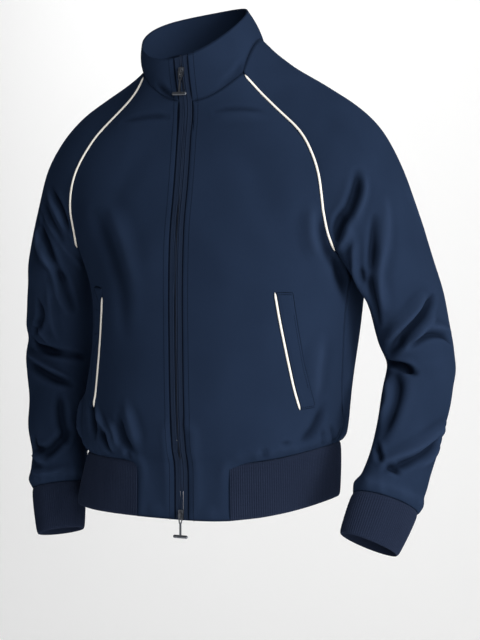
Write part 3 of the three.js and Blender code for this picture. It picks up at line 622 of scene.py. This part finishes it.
CREASES = {
    # piece: (half width, height, points), in millimetres
    "sleeve_left": [
        (6, -7, [(228, -54, -170), (228, -59, -192), (220, -68, -219), (206, -73, -244)]),
        (5, 3, [(236, -49, -177), (236, -56, -203), (228, -66, -234)]),
        (6, -6, [(213, -71, -221), (207, -73, -240), (202, -71, -262)]),
        (5, 4, [(225, -68, -242), (216, -70, -258), (205, -67, -271)]),
        (5, 3, [(228, -67, -253), (229, -72, -292), (238, -46, -339)]),
        (5, -5, [(251, -51, -228), (252, -62, -271), (250, -62, -323), (251, -38, -367)]),
        (5, -3, [(239, -75, -294), (238, -64, -316)]),
        (7, 4, [(261, -34, -206), (264, -48, -258), (262, -65, -303), (263, -50, -347)]),
        (7, 1.2, [(272, 7, -186), (281, 18, -211), (292, 29, -249)]),
        (6, -9, [(313, 10, -335), (309, -7, -350), (297, -26, -372), (279, -31, -393), (261, -22, -409)]),
        (6, 5, [(305, -9, -333), (297, -26, -353), (279, -38, -374), (260, -32, -391)]),
        (5, 4, [(317, 7, -363), (307, -13, -375), (288, -25, -395)]),
        (3.5, -4, [(291, -25, -401), (301, -14, -390), (313, 1, -385), (322, 21, -388), (330, 37, -398)]),
        (4, 3, [(310, -8, -375), (320, 15, -375), (324, 46, -385)]),
        (5, -8, [(253, -2, -422), (276, -16, -427), (295, -19, -435)]),
        (8, -4, [(271, -19, -435), (278, -37, -457), (276, -56, -484), (270, -69, -513)]),
        (7, 3.5, [(259, -20, -443), (268, -44, -470), (261, -54, -496)]),
        (6, 4, [(327, 21, -506), (323, -22, -519), (308, -59, -532), (288, -77, -541), (275, -86, -548)]),
        (5, -4, [(326, -1, -525), (315, -51, -541), (297, -72, -550), (281, -89, -555)]),
        (5, 3, [(328, 7, -508), (324, -12, -540), (318, -45, -555)]),
        (4, -4, [(282, -86, -550), (297, -78, -561)]),
        (4, -4, [(261, -70, -525), (273, -86, -546)]),
    ],
    "sleeve_right": [
        (4, 3, [(-245, -49, -185), (-228, -65, -212), (-206, -76, -240), (-188, -65, -272)]),
        (4, -4, [(-230, -62, -192), (-206, -75, -223), (-196, -70, -262)]),
        (4, 3, [(-257, -42, -207), (-231, -65, -239), (-210, -69, -267), (-193, -42, -303)]),
        (4, -4, [(-245, -55, -214), (-217, -70, -253), (-199, -55, -284)]),
        (5, 4, [(-252, -51, -217), (-256, -56, -268), (-226, -76, -305), (-228, -48, -345), (-224, -30, -370)]),
        (5, -5, [(-262, -43, -231), (-235, -66, -271), (-214, -59, -320), (-216, -22, -364)]),
        (5, 3, [(-240, -58, -331), (-247, -35, -380), (-246, -18, -409)]),
        (4, 3, [(-283, -26, -385), (-269, -27, -399), (-261, -18, -414)]),
        (5, -5, [(-265, -42, -350), (-265, -37, -376), (-285, -21, -401)]),
        (5, -7, [(-291, -15, -410), (-286, -10, -418), (-258, -10, -427), (-221, 13, -435)]),
        (4, 4, [(-311, 4, -430), (-272, -20, -443), (-236, -14, -463)]),
        (5, -5, [(-297, -13, -446), (-261, -23, -460), (-228, -11, -473)]),
        (6, -5, [(-240, -25, -488), (-234, -30, -523), (-225, -29, -552)]),
        (5, -5, [(-277, -37, -549), (-275, -35, -567), (-254, -42, -564)]),
        (5, 4, [(-274, -35, -569), (-275, -35, -577), (-256, -44, -585)]),
        (6, -6, [(-259, -41, -576), (-239, -40, -560), (-224, -25, -541)]),
        (4, 3, [(-280, -37, -598), (-246, -45, -598), (-226, -34, -589)]),
    ],
    "front_left": [
        (3, -1.6, [(32, -84, -87), (63, -78, -84), (96, -68, -86)]),
        (6, 0.9, [(32, -86, -95), (67, -80, -93), (98, -72, -94)]),
        (8, 3, [(175, -86, -216), (176, -88, -251), (182, -80, -282)]),
        (6, -3, [(187, -80, -224), (189, -77, -256), (194, -65, -287)]),
        (9, 3, [(185, -72, -391), (179, -73, -431), (175, -69, -471)]),
        (8, -3, [(181, -55, -483), (171, -66, -512), (157, -77, -530)]),
        (4, -2.2, [(178, -53, -513), (171, -39, -537)]),
        (4, -2.2, [(184, -36, -510), (176, -11, -538)]),
        (4, -2.2, [(187, -9, -515), (176, -10, -538)]),
        (4, -2, [(146, -90, -529), (138, -98, -531)]),
        (4, -2, [(117, -106, -534), (112, -100, -553)]),
        (9, -3.5, [(196, -66, -270), (201, -52, -298), (204, -34, -330)]),
    ],
    "front_right": [
        (3.5, -1.8, [(-111, -75, -99), (-63, -84, -93), (-35, -86, -94)]),
        (5, 4, [(-189, -47, -483), (-189, -58, -518), (-183, -68, -542)]),
        (6, -6, [(-155, -91, -480), (-148, -97, -504), (-144, -100, -533)]),
        (4, 4, [(-137, -103, -495), (-129, -107, -512), (-113, -113, -526), (-109, -110, -549)]),
        (5, -5, [(-135, -104, -524), (-124, -108, -537), (-115, -107, -552)]),
        (5, 3, [(-116, -113, -508), (-103, -117, -525), (-102, -114, -546)]),
        (6, -4, [(-95, -122, -502), (-88, -121, -530), (-73, -118, -550)]),
        (7, 2.5, [(-82, -125, -484), (-73, -126, -511), (-65, -124, -538)]),
        (4, -2, [(-83, -118, -547), (-82, -111, -562)]),
        (12, -1.8, [(-139, -102, -227), (-113, -114, -267), (-89, -125, -321), (-83, -125, -382)]),
        (12, 1.4, [(-118, -103, -213), (-88, -120, -260), (-66, -130, -314)]),
    ],
    "collar": [
        (5, -3, [(-54, -80, -51), (-36, -83, -65), (-24, -84, -71)]),
        (5, -3, [(42, -76, -53), (56, -64, -40), (63, -47, -19)]),
    ],
}

SEEN_FROM_BEHIND = {
    # piece: (half width, height, (x, z) points), on the faces that look back
    "back": [
        (9, -3.5, [(150, -150), (118, -205), (70, -262)]),
        (7, 2.5, [(160, -175), (132, -228), (92, -286)]),
        (8, -3.5, [(172, -250), (140, -292), (96, -330)]),
        (9, -3.5, [(-146, -150), (-112, -212), (-66, -268)]),
        (7, 2.5, [(-158, -180), (-128, -236), (-84, -296)]),
        (8, -3, [(-168, -262), (-138, -300), (-100, -342)]),
        (11, -3, [(-8, -330), (2, -400), (-6, -470)]),
        (10, 2.5, [(-58, -350), (-50, -430), (-60, -512)]),
        (10, -3, [(62, -372), (70, -440), (62, -520)]),
        (9, 2.5, [(108, -380), (116, -450), (110, -528)]),
        (9, -3, [(-108, -400), (-118, -462), (-112, -535)]),
        (6, -3, [(-160, -430), (-120, -452), (-70, -448)]),
        (6, 2.5, [(-150, -452), (-112, -470), (-74, -466)]),
        (6, -3, [(165, -440), (120, -468), (78, -462)]),
        (7, -2.5, [(40, -500), (0, -512), (-40, -504)]),
        (7, -1.5, [(-60, -70), (0, -88), (58, -74)]),
    ],
    "sleeve_left": [
        (7, -4, [(188, -120), (205, -176), (206, -228)]),
        (6, 3, [(206, -130), (224, -190), (224, -246)]),
        (6, -5, [(222, -238), (240, -286), (243, -330)]),
        (6, 3.5, [(248, -250), (262, -296), (262, -346)]),
        (6, -5, [(326, -352), (300, -372), (268, -384), (246, -392)]),
        (6, 4, [(322, -370), (296, -390), (262, -402)]),
        (5, -5, [(328, -398), (304, -410), (276, -414)]),
        (6, -4, [(322, -436), (296, -452), (270, -462)]),
        (6, 3.5, [(318, -460), (294, -478), (268, -492)]),
        (6, -4, [(314, -504), (290, -524), (268, -546)]),
        (5, 3, [(318, -530), (296, -552), (276, -566)]),
    ],
    "sleeve_right": [
        (7, -4, [(-176, -120), (-198, -180), (-200, -236)]),
        (6, 3, [(-200, -130), (-220, -196), (-218, -252)]),
        (6, -5, [(-222, -240), (-240, -292), (-240, -340)]),
        (6, 3.5, [(-262, -250), (-270, -306), (-264, -356)]),
        (6, -5, [(-318, -376), (-290, -396), (-258, -404)]),
        (6, 4, [(-316, -396), (-288, -414), (-254, -424)]),
        (5, -5, [(-316, -424), (-286, -438), (-250, -444)]),
        (6, -4, [(-306, -468), (-278, -488), (-248, -494)]),
        (6, 3.5, [(-300, -496), (-274, -514), (-246, -524)]),
        (6, -4, [(-296, -540), (-270, -556), (-244, -562)]),
    ],
}
BEHIND = 300.0

UNDULATION = {
    # piece: height, size of its humps, seed
    "front_left": (0.55, (46, 60, 92), 3.1),
    "front_right": (0.6, (46, 60, 92), 8.4),
    "back": (1.5, (58, 60, 110), 12.7),
    "sleeve_left": (1.0, (34, 40, 58), 21.3),
    "sleeve_right": (1.1, (34, 40, 58), 27.9),
    "collar": (0.35, (40, 40, 30), 33.5),
}

BLOUSE = {
    # piece: top of the seam's band, blouse over the rib, puckers, width of a pucker
    "front_left": (-520, 1.4, 0.55, 13),
    "front_right": (-520, 1.4, 0.7, 13),
    "back": (-500, 2.2, 1.3, 13),
    "sleeve_left": (-540, 3.4, 1.7, 12),
    "sleeve_right": (-560, 3.4, 1.7, 12),
}
BLOUSE_AT = 13.0
SEAM_DIP = 0.5
SEAM_DIP_REACH = 2.4
SEAM_SHADE = 3.2
SEAM_SHADE_REACH = 1.6
NECK_REACH = 5


def tree_of(obj):
    """For finding the nearest place on a piece's outer face, in millimetres."""
    corners = [Vector(p) for p in points_of(obj)]
    return BVHTree.FromPolygons(corners, [tuple(p.vertices) for p in obj.data.polygons])


def cast_from_behind(tree, line):
    found = []
    for x, z in line:
        place = tree.ray_cast(Vector((x, BEHIND, z)), Vector((0, -1, 0)))[0]
        if place is not None:
            found.append(tuple(place))
    return found


def keep_fold(obj, height):
    """Keeps each point's height in millimetres for the cloth's material, which paints shade in troughs and
    light on ridges from it.
    """
    layer = obj.data.attributes.new("fold", "FLOAT", "POINT")
    layer.data.foreach_set("value", np.asarray(height, np.float32))


def sculpt(obj, node):
    """Creases, soft waves, the blouse above a rib and a dip at each seam but the neck's, along the normals."""
    points = points_of(obj)
    edges = edge_points(obj)
    border = distances(points, edges)
    free = smooth_step(border / 9)
    creases = list(CREASES.get(node, []))
    tree = tree_of(obj)
    for width, depth, line in SEEN_FROM_BEHIND.get(node, []):
        line = cast_from_behind(tree, line)
        if len(line) > 1:
            creases.append((width, depth, line))
    rise, size, seed = UNDULATION[node]
    height = (crease_height(points, creases) * FOLD_SHARE + cloudy(points, size, seed) * rise) * free
    if node in BLOUSE:
        top, blouse, pucker, across = BLOUSE[node]
        seam = edges[edges[:, 2] < top]
        over = distances(points, seam)
        waves = cloudy(points, (across, across, 60), seed + 5)
        height += blouse * np.exp(-(((over - BLOUSE_AT) / 8.5) ** 2)) * (1 + 0.5 * waves)
        height += pucker * waves * np.exp(-((over / 17) ** 2)) * smooth_step(over / 4)
    # The material gets a deeper seam than the mesh has: painted shade along the seams.
    keep_fold(obj, height - SEAM_SHADE * np.exp(-((border / SEAM_SHADE_REACH) ** 2)))
    if node != "collar":
        neck = distances(points, neck_seam)
        away = 1 - np.exp(-((neck / NECK_REACH) ** 2))
        height -= SEAM_DIP * np.exp(-((border / SEAM_DIP_REACH) ** 2)) * away
    set_points(obj, points + normals_of(obj) * height[:, None])


# ---------------------------------------------------------------- lines, cords and stitches


def nearest(trees, point):
    """The mean of the nearest places on one or more skins, and of their normals."""
    hits = [tree.find_nearest(Vector(point)) for tree in trees]
    place = sum((np.array(hit[0]) for hit in hits)) / len(hits)
    up = unit(sum(np.array(hit[1]) for hit in hits))
    return place, up


def lay(line, trees, soften=2):
    """Lays a line on skins: its points and the outward direction at each, both softened along it."""
    laid = [nearest(trees, p) for p in line]
    places = np.array([p for p, _ in laid])
    ups = np.array([u for _, u in laid])
    for _ in range(soften):
        places[1:-1] = places[1:-1] * 0.5 + (places[:-2] + places[2:]) * 0.25
        ups[1:-1] = ups[1:-1] * 0.5 + (ups[:-2] + ups[2:]) * 0.25
    return places, unit(ups)


def tangents(line):
    way = np.gradient(line, axis=0)
    return unit(way)


def cord(name, line, ups, width, height, sides=12, sink=0.25):
    """A cord with an oval section and rounded ends."""
    along = tangents(line)
    across = unit(np.cross(ups, along))
    count = len(line)
    ends = np.minimum(np.arange(count), np.arange(count)[::-1])
    swell = np.sqrt(np.clip(1 - (1 - np.minimum(ends / 2.5, 1)) ** 2, 0.06, 1))
    turn = np.arange(sides) * 2 * math.pi / sides
    verts = []
    for k in range(count):
        middle = line[k] + ups[k] * (height * (0.5 - sink))
        for a in turn:
            verts.append(middle + across[k] * (math.cos(a) * width / 2 * swell[k])
                         + ups[k] * (math.sin(a) * height / 2 * swell[k]))
    faces = []
    for k in range(count - 1):
        for j in range(sides):
            a, b = k * sides + j, k * sides + (j + 1) % sides
            faces.append((a, b, b + sides, a + sides))
    faces.append(tuple(range(sides))[::-1])
    faces.append(tuple((count - 1) * sides + j for j in range(sides)))
    obj = new_piece(name, verts, faces)
    recalculate(obj)
    return obj


def recalculate(obj):
    bm = bmesh.new()
    bm.from_mesh(obj.data)
    bmesh.ops.recalc_face_normals(bm, faces=bm.faces[:])
    bm.to_mesh(obj.data)
    bm.free()
    obj.data.update()


STITCH = [
    # along, across, up: the two tips and two rings of four
    (-1.0, 0.0, -0.5), (1.0, 0.0, -0.5),
    (-0.5, -1.0, 0.0), (-0.5, 0.0, 1.0), (-0.5, 1.0, 0.0), (-0.5, 0.0, -1.0),
    (0.5, -1.0, 0.0), (0.5, 0.0, 1.0), (0.5, 1.0, 0.0), (0.5, 0.0, -1.0),
]
STITCH_FACES = [
    (2, 3, 7, 6), (3, 4, 8, 7), (4, 5, 9, 8), (5, 2, 6, 9),
    (0, 3, 2), (0, 4, 3), (0, 5, 4), (0, 2, 5),
    (1, 6, 7), (1, 7, 8), (1, 8, 9), (1, 9, 6),
]


def beads(name, rows):
    """Many small spindles joined in one mesh: each row is (middle, along, across, up), already scaled."""
    shape = np.array(STITCH)
    verts = []
    faces = []
    for middle, along, across, up in rows:
        first = len(verts)
        verts.extend(middle + np.outer(shape[:, 0], along) + np.outer(shape[:, 1], across)
                     + np.outer(shape[:, 2], up))
        faces.extend([tuple(i + first for i in face) for face in STITCH_FACES])
    obj = new_piece(name, verts, faces)
    recalculate(obj)
    return obj


STITCH_PITCH = 3.0
STITCH_LENGTH = 2.3
STITCH_WIDTH = 0.8


def stitch_rows(lines, trees):
    rows = []
    for line in lines:
        places, ups = lay(evenly(np.asarray(line, float), STITCH_PITCH), trees, 1)
        along = tangents(places)
        across = unit(np.cross(ups, along))
        for p, a, c, u in zip(places, along, across, ups):
            rows.append((p + u * 0.06, a * STITCH_LENGTH / 2, c * STITCH_WIDTH / 2, u * STITCH_WIDTH / 2))
    return rows


def stations(node, reach):
    """The cross-sections of a strip or bead from top to bottom: middle and the way to the wearer's left."""
    bm = welded(node)
    groups = []
    for p in sorted((np.array(v.co) / MM for v in bm.verts), key=lambda p: -p[2]):
        for group in groups:
            if np.linalg.norm(group[0] - p) < reach:
                group.append(p)
                break
        else:
            groups.append([p])
    bm.free()
    middles = []
    sides = []
    for group in groups:
        group = np.array(group)
        middle = group.mean(0)
        left = group[group[:, 0] > middle[0]].mean(0)
        right = group[group[:, 0] <= middle[0]].mean(0)
        middles.append(middle)
        sides.append(left - right)
    return np.array(middles), np.array(sides)


# ---------------------------------------------------------------- ribbed bands


def band_columns(node, long_edge, soften):
    """Top and bottom of a band at even angles round it, smoothed, midway between its two faces."""
    bm = welded(node)
    squared(bm)
    pairs = []
    for edge in bm.edges:
        if edge.calc_length() / MM > long_edge:
            a, b = sorted((np.array(v.co) / MM for v in edge.verts), key=lambda p: -p[2])
            pairs.append((a, b))
    bm.free()
    tops = np.array([a for a, _ in pairs])
    bottoms = np.array([b for _, b in pairs])
    middles = (tops + bottoms) / 2
    centre = (middles.max(0) + middles.min(0)) / 2
    axis = unit(tops.mean(0) - bottoms.mean(0))
    east = unit(np.cross((0, 1, 0), axis))
    north = np.cross(axis, east)
    spokes = middles - centre
    angles = np.arctan2(spokes @ north, spokes @ east)
    order = np.argsort(angles)
    angles = angles[order]
    jumps = np.diff(np.append(angles, angles[0] + 2 * math.pi))
    widest = int(np.argmax(jumps))
    radius = np.linalg.norm(spokes, axis=1).mean()
    closed = jumps[widest] * radius < 30
    if closed:
        start, span = angles[0], 2 * math.pi
    else:
        start, span = angles[(widest + 1) % len(angles)], 2 * math.pi - jumps[widest]
    turned = (angles - start) % (2 * math.pi)
    marks = np.linspace(0, span, 1500)
    spread = soften / radius
    found = []
    for values in (tops[order], bottoms[order]):
        line = []
        for mark in marks:
            off = turned - mark
            if closed:
                off = (off + math.pi) % (2 * math.pi) - math.pi
            weight = np.exp(-0.5 * (off / spread) ** 2)
            total, first, second = weight.sum(), (weight * off).sum(), (weight * off * off).sum()
            spare = total * second - first * first
            share = (weight * (second - off * first)) / spare
            line.append(share @ values)
        found.append(np.array(line))
    return found[0], found[1], closed, centre


BAND_ROWS = [
    # share of the way down, roll of the cloth outwards, share of the rib's height
    (0.0, -0.7, 0.25), (0.03, -0.1, 0.6), (0.08, 0.35, 0.85), (0.16, 0.7, 1.0),
    (0.3, 1.0, 1.0), (0.45, 1.1, 1.0), (0.6, 1.0, 1.0), (0.75, 0.8, 1.0),
    (0.87, 0.5, 0.95), (0.94, 0.2, 0.8), (0.975, -0.25, 0.6), (1.0, -0.9, 0.35),
]
COLUMNS_A_RIB = 6
MID_TO_OUTER = 0.78
MID_TO_INNER = -1.3


def ribbed_band(name, node, long_edge, soften, seed):
    top, bottom, closed, centre = band_columns(node, long_edge, soften)
    middle = (top + bottom) / 2
    if closed:
        top, bottom, middle = (np.vstack([line, line[:1]]) for line in (top[:-1], bottom[:-1], middle[:-1]))
    run = np.concatenate([[0], np.cumsum(np.linalg.norm(np.diff(middle, axis=0), axis=1))])
    ribs = int(round(run[-1] / RIB_PITCH))
    count = ribs * COLUMNS_A_RIB + (0 if closed else 1)
    marks = np.arange(count) / (ribs * COLUMNS_A_RIB) * run[-1]
    wander = np.array([noise.noise(Vector((m / 23, seed, 0))) for m in marks]) * 0.35
    top, bottom, middle = (np.column_stack([np.interp(marks, run, line[:, k]) for k in range(3)])
                           for line in (top, bottom, middle))
    if closed:
        along = unit(np.roll(middle, -2, axis=0) - np.roll(middle, 2, axis=0))
    else:
        along = tangents(middle)
    out = unit(np.cross(along, top - bottom))
    out *= np.sign(np.sum(out * (middle - centre), axis=1).sum())
    phase = np.arange(count) / COLUMNS_A_RIB + (0 if closed else 0.5)
    rib = (0.5 - 0.5 * np.cos(2 * math.pi * phase)) ** 0.8 * (1 + wander)
    billow = np.array([noise.noise(Vector((m / 60, seed + 4, 0))) for m in marks])
    verts = []
    for share, roll, fine in BAND_ROWS:
        line = top + (bottom - top) * share
        away = MID_TO_OUTER + roll * (1 + 0.4 * billow) + RIB_RISE * fine * rib
        verts.append(line + out * away[:, None])
    for share in (1.0, 0.0):
        verts.append(top + (bottom - top) * share + out * MID_TO_INNER)
    rows = len(verts)
    faces = []
    wraps = count if closed else count - 1
    for r in range(rows):
        for c in range(wraps):
            d = (c + 1) % count
            s = (r + 1) % rows
            faces.append((r * count + c, s * count + c, s * count + d, r * count + d))
    if not closed:
        for c in (0, count - 1):
            faces.append(tuple(r * count + c for r in range(rows)))
    obj = new_piece(name, np.vstack(verts), faces)
    recalculate(obj)
    return obj


# ---------------------------------------------------------------- the jacket's pieces

make_camera()
make_lights()
make_stage()

NAVY = knit_material("navy_cloth", (0.0112, 0.0200, 0.0420), (0.0160, 0.0280, 0.0590), 0.5, 0.03)
RIB = rib_material()
TAPE = tape_material()
COIL = coil_material()
PIPING = piping_material()
METAL = metal_material()

SHELLS = [
    # node, thickness, levels, flat cut: width, length, area
    ("front_left", CLOTH, 3, 0.30, 0.62, 0.120), ("front_right", CLOTH, 3, 0.30, 0.62, 0.120),
    ("back", CLOTH, 3, 0.58, 0.60, 0.260), ("sleeve_left", CLOTH, 3, 0.48, 0.72, 0.220),
    ("sleeve_right", CLOTH, 3, 0.48, 0.72, 0.220), ("collar", COLLAR_CLOTH, 2, 0.47, 0.09, 0.035),
]
shells = {}
for node, thickness, levels, *_ in SHELLS:
    verts, faces, _ = skins(node, thickness, exact=node == "collar")[0]
    shells[node] = subdivided(f"{node}_cloth", verts, faces, levels)
meet_at_seams(shells)
neck_seam = edge_points(shells["collar"])
trees = {}
for node, thickness, levels, width, length, area in SHELLS:
    shell = shells[node]
    sculpt(shell, node)
    trees[node] = tree_of(shell)
    thicken(shell, thickness)
    finish_piece(shell, NAVY, replaces=[node])

BANDS = [
    # node, edges that run down it, softening round it, seed, flat cut: width, length
    ("hem_rib", 45, 9.0, 1.7, 0.92, 0.078), ("cuff_left", 30, 6.0, 5.2, 0.23, 0.062),
    ("cuff_right", 30, 6.0, 9.6, 0.23, 0.062),
]
for node, long_edge, soften, seed, width, length in BANDS:
    band = ribbed_band(f"{node}_knit", node, long_edge, soften, seed)
    finish_piece(band, RIB, replaces=[node])


def front_skin(node, thickness):
    """The face of a strip that looks forwards."""
    return min(skins(node, thickness), key=lambda skin: skin[2].y)


def make_welt(side):
    node = f"pocket_welt_{side}"
    verts, faces, _ = front_skin(node, WELT_CLOTH)
    welt = subdivided(f"{node}_cloth", verts, faces, 4)
    points = points_of(welt)
    border = distances(points, edge_points(welt))
    rise = WELT_REST + WELT_CLOTH * np.sqrt(np.clip(border / 1.6 + 0.25, 0, 1))
    rise -= 0.6 * np.exp(-(((border - WELT_STITCH) / 0.9) ** 2))
    laid = [nearest([trees[f"front_{side}"]], p) for p in points]
    set_points(welt, [place + up * r for (place, up), r in zip(laid, rise)])
    tree = tree_of(welt)
    thicken(welt, WELT_CLOTH - 0.2)
    finish_piece(welt, NAVY, replaces=[node])
    middles, sides = stations(node, 22)
    out = unit(sides) * (np.linalg.norm(sides, axis=1, keepdims=True) / 2 - WELT_STITCH)
    far = 1 if side == "left" else -1
    long_side = middles + out * far
    ends = []
    for k, way in ((0, 1), (-1, -1)):
        inwards = unit(middles[k + way] - middles[k]) * WELT_STITCH
        ends.append(np.array([middles[k] - out[k] * 0.9 + inwards, middles[k] + out[k] + inwards]))
    rows = stitch_rows([curve_through(long_side[1:-1], 6.0), *ends], [tree])
    return rows


def make_zip():
    middles, sides = stations("zip_chain", 7)
    frame_line = evenly(curve_through(np.hstack([middles, unit(sides)]), 4.0), TOOTH_PITCH)
    line, left = frame_line[:, :3], unit(frame_line[:, 3:])
    along = tangents(line)
    up = unit(np.cross(along, left))
    rows = []
    for k, (p, a, s, u) in enumerate(zip(line, along, left, up)):
        for way in (-1, 1):
            middle = p + s * way * TOOTH_AT + u * TOOTH_RISE + a * (way * TOOTH_PITCH / 4)
            rows.append((middle, s * TOOTH_HALF + a * (way * 0.34), a * 0.56, u * 0.55))
    teeth = beads("zip_teeth", rows)
    verts, faces, _ = front_skin("zip_chain", 1.6)
    core = subdivided("zip_chain_edges", verts, faces, 3)
    from_slit = distances(points_of(core), line)
    roll = CORE_SINK * np.exp(-((from_slit / CORE_SLIT) ** 2))
    set_points(core, points_of(core) - normals_of(core) * roll[:, None])
    thicken(core, 0.7)
    finish_piece(core, TAPE, replaces=["zip_chain"])
    finish_piece(teeth, COIL)
    for side in ("left", "right"):
        node = f"zip_tape_{side}"
        verts, faces, _ = front_skin(node, 1.0)
        tape = subdivided(f"{node}_weave", verts, faces, 3)
        border = distances(points_of(tape), line)
        swell = 0.35 * np.exp(-(((border - 3.4) / 1.1) ** 2))
        set_points(tape, points_of(tape) + normals_of(tape) * swell[:, None])
        thicken(tape, 0.8)
        finish_piece(tape, TAPE, replaces=[node])
    return line, left


TOOTH_PITCH = 1.35
TOOTH_AT = 0.5
TOOTH_HALF = 0.72
TOOTH_RISE = 0.35
CORE_SINK = 0.9
CORE_SLIT = 1.1
WELT_CLOTH = 1.6
WELT_REST = 0.3
WELT_STITCH = 2.6
EDGE_STITCH = ZIP_HALF + 8.5
NECK_Z = -74.0
ZIP_SHADOW_WIDTH = 1.7


def shadow_line(name, line, skins_under, width=1.1):
    """A thin dark cord along an edge: painted shadow where the cloth turns into shade."""
    places, ups = lay(curve_through(line, 4.0), skins_under, 1)
    turn = cord(name, places, ups, width, 0.7, sides=8, sink=0.2)
    finish_piece(turn, SHADE)
    return turn


# Dark thread for the stitching, and painted shadow for the shadow lines.
SHADE = knit_material("navy_thread_and_painted_shadow", (0.0022, 0.0035, 0.0075), (0.0038, 0.006, 0.012), 0.7, 0.0)
stitches = []
for side in ("left", "right"):
    stitches += make_welt(side)
    middles, sides = stations(f"pocket_welt_{side}", 22)
    out = unit(sides) * (np.linalg.norm(sides, axis=1, keepdims=True) / 2 + 0.4) * (1 if side == "left" else -1)
    front = [trees[f"front_{side}"]]
    # Painted shadow: dark cords along the welt's edges.
    shadow_line(f"pocket_edge_{side}_long", middles + out, front)
    if side == "left":
        for end, k in (("top", 0), ("end", -1)):
            across = [middles[k] - out[k], middles[k], middles[k] + out[k]]
            shadow_line(f"pocket_edge_left_{end}", across, front)
    middles, _ = stations(f"pocket_piping_{side}", 7)
    line, ups = lay(curve_through(middles, 3.0), [trees[f"front_{side}"]])
    piping = cord(f"pocket_piping_{side}_cord", line, ups, 3.1, 2.3, sink=0.0)
    finish_piece(piping, PIPING, replaces=[f"pocket_piping_{side}"])
    middles, _ = stations(f"raglan_piping_{side}", 7)
    line, ups = lay(curve_through(middles, 3.0), [trees[f"front_{side}"], trees[f"sleeve_{side}"]])
    piping = cord(f"raglan_piping_{side}_cord", line, ups, 3.2, 2.4, sink=0.1)
    finish_piece(piping, PIPING, replaces=[f"raglan_piping_{side}"])

zip_line, zip_left = make_zip()
for way, side in ((1, "left"), (-1, "right")):
    edge = zip_line + zip_left * way * EDGE_STITCH
    stitches += stitch_rows([edge[zip_line[:, 2] > NECK_Z]], [trees["collar"]])
    stitches += stitch_rows([edge[zip_line[:, 2] < NECK_Z]], [trees[f"front_{side}"]])
    # Painted shadow: dark cords along the cloth's edges beside the zip.
    turned = zip_line + zip_left * way * (ZIP_HALF + 0.5)
    upper = turned[zip_line[:, 2] > NECK_Z - 1][::4]
    lower = turned[zip_line[:, 2] < NECK_Z + 1][::4]
    shadow_line(f"zip_shadow_line_{side}_collar", upper, [trees["collar"]], ZIP_SHADOW_WIDTH)
    shadow_line(f"zip_shadow_line_{side}_front", lower, [trees[f"front_{side}"]], ZIP_SHADOW_WIDTH)
thread = beads("navy_stitching", stitches)
finish_piece(thread, SHADE)

for node in ("top_slider", "top_pull", "bottom_slider", "bottom_pull"):
    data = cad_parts[node].data
    data.materials.clear()
    data.materials.append(METAL)
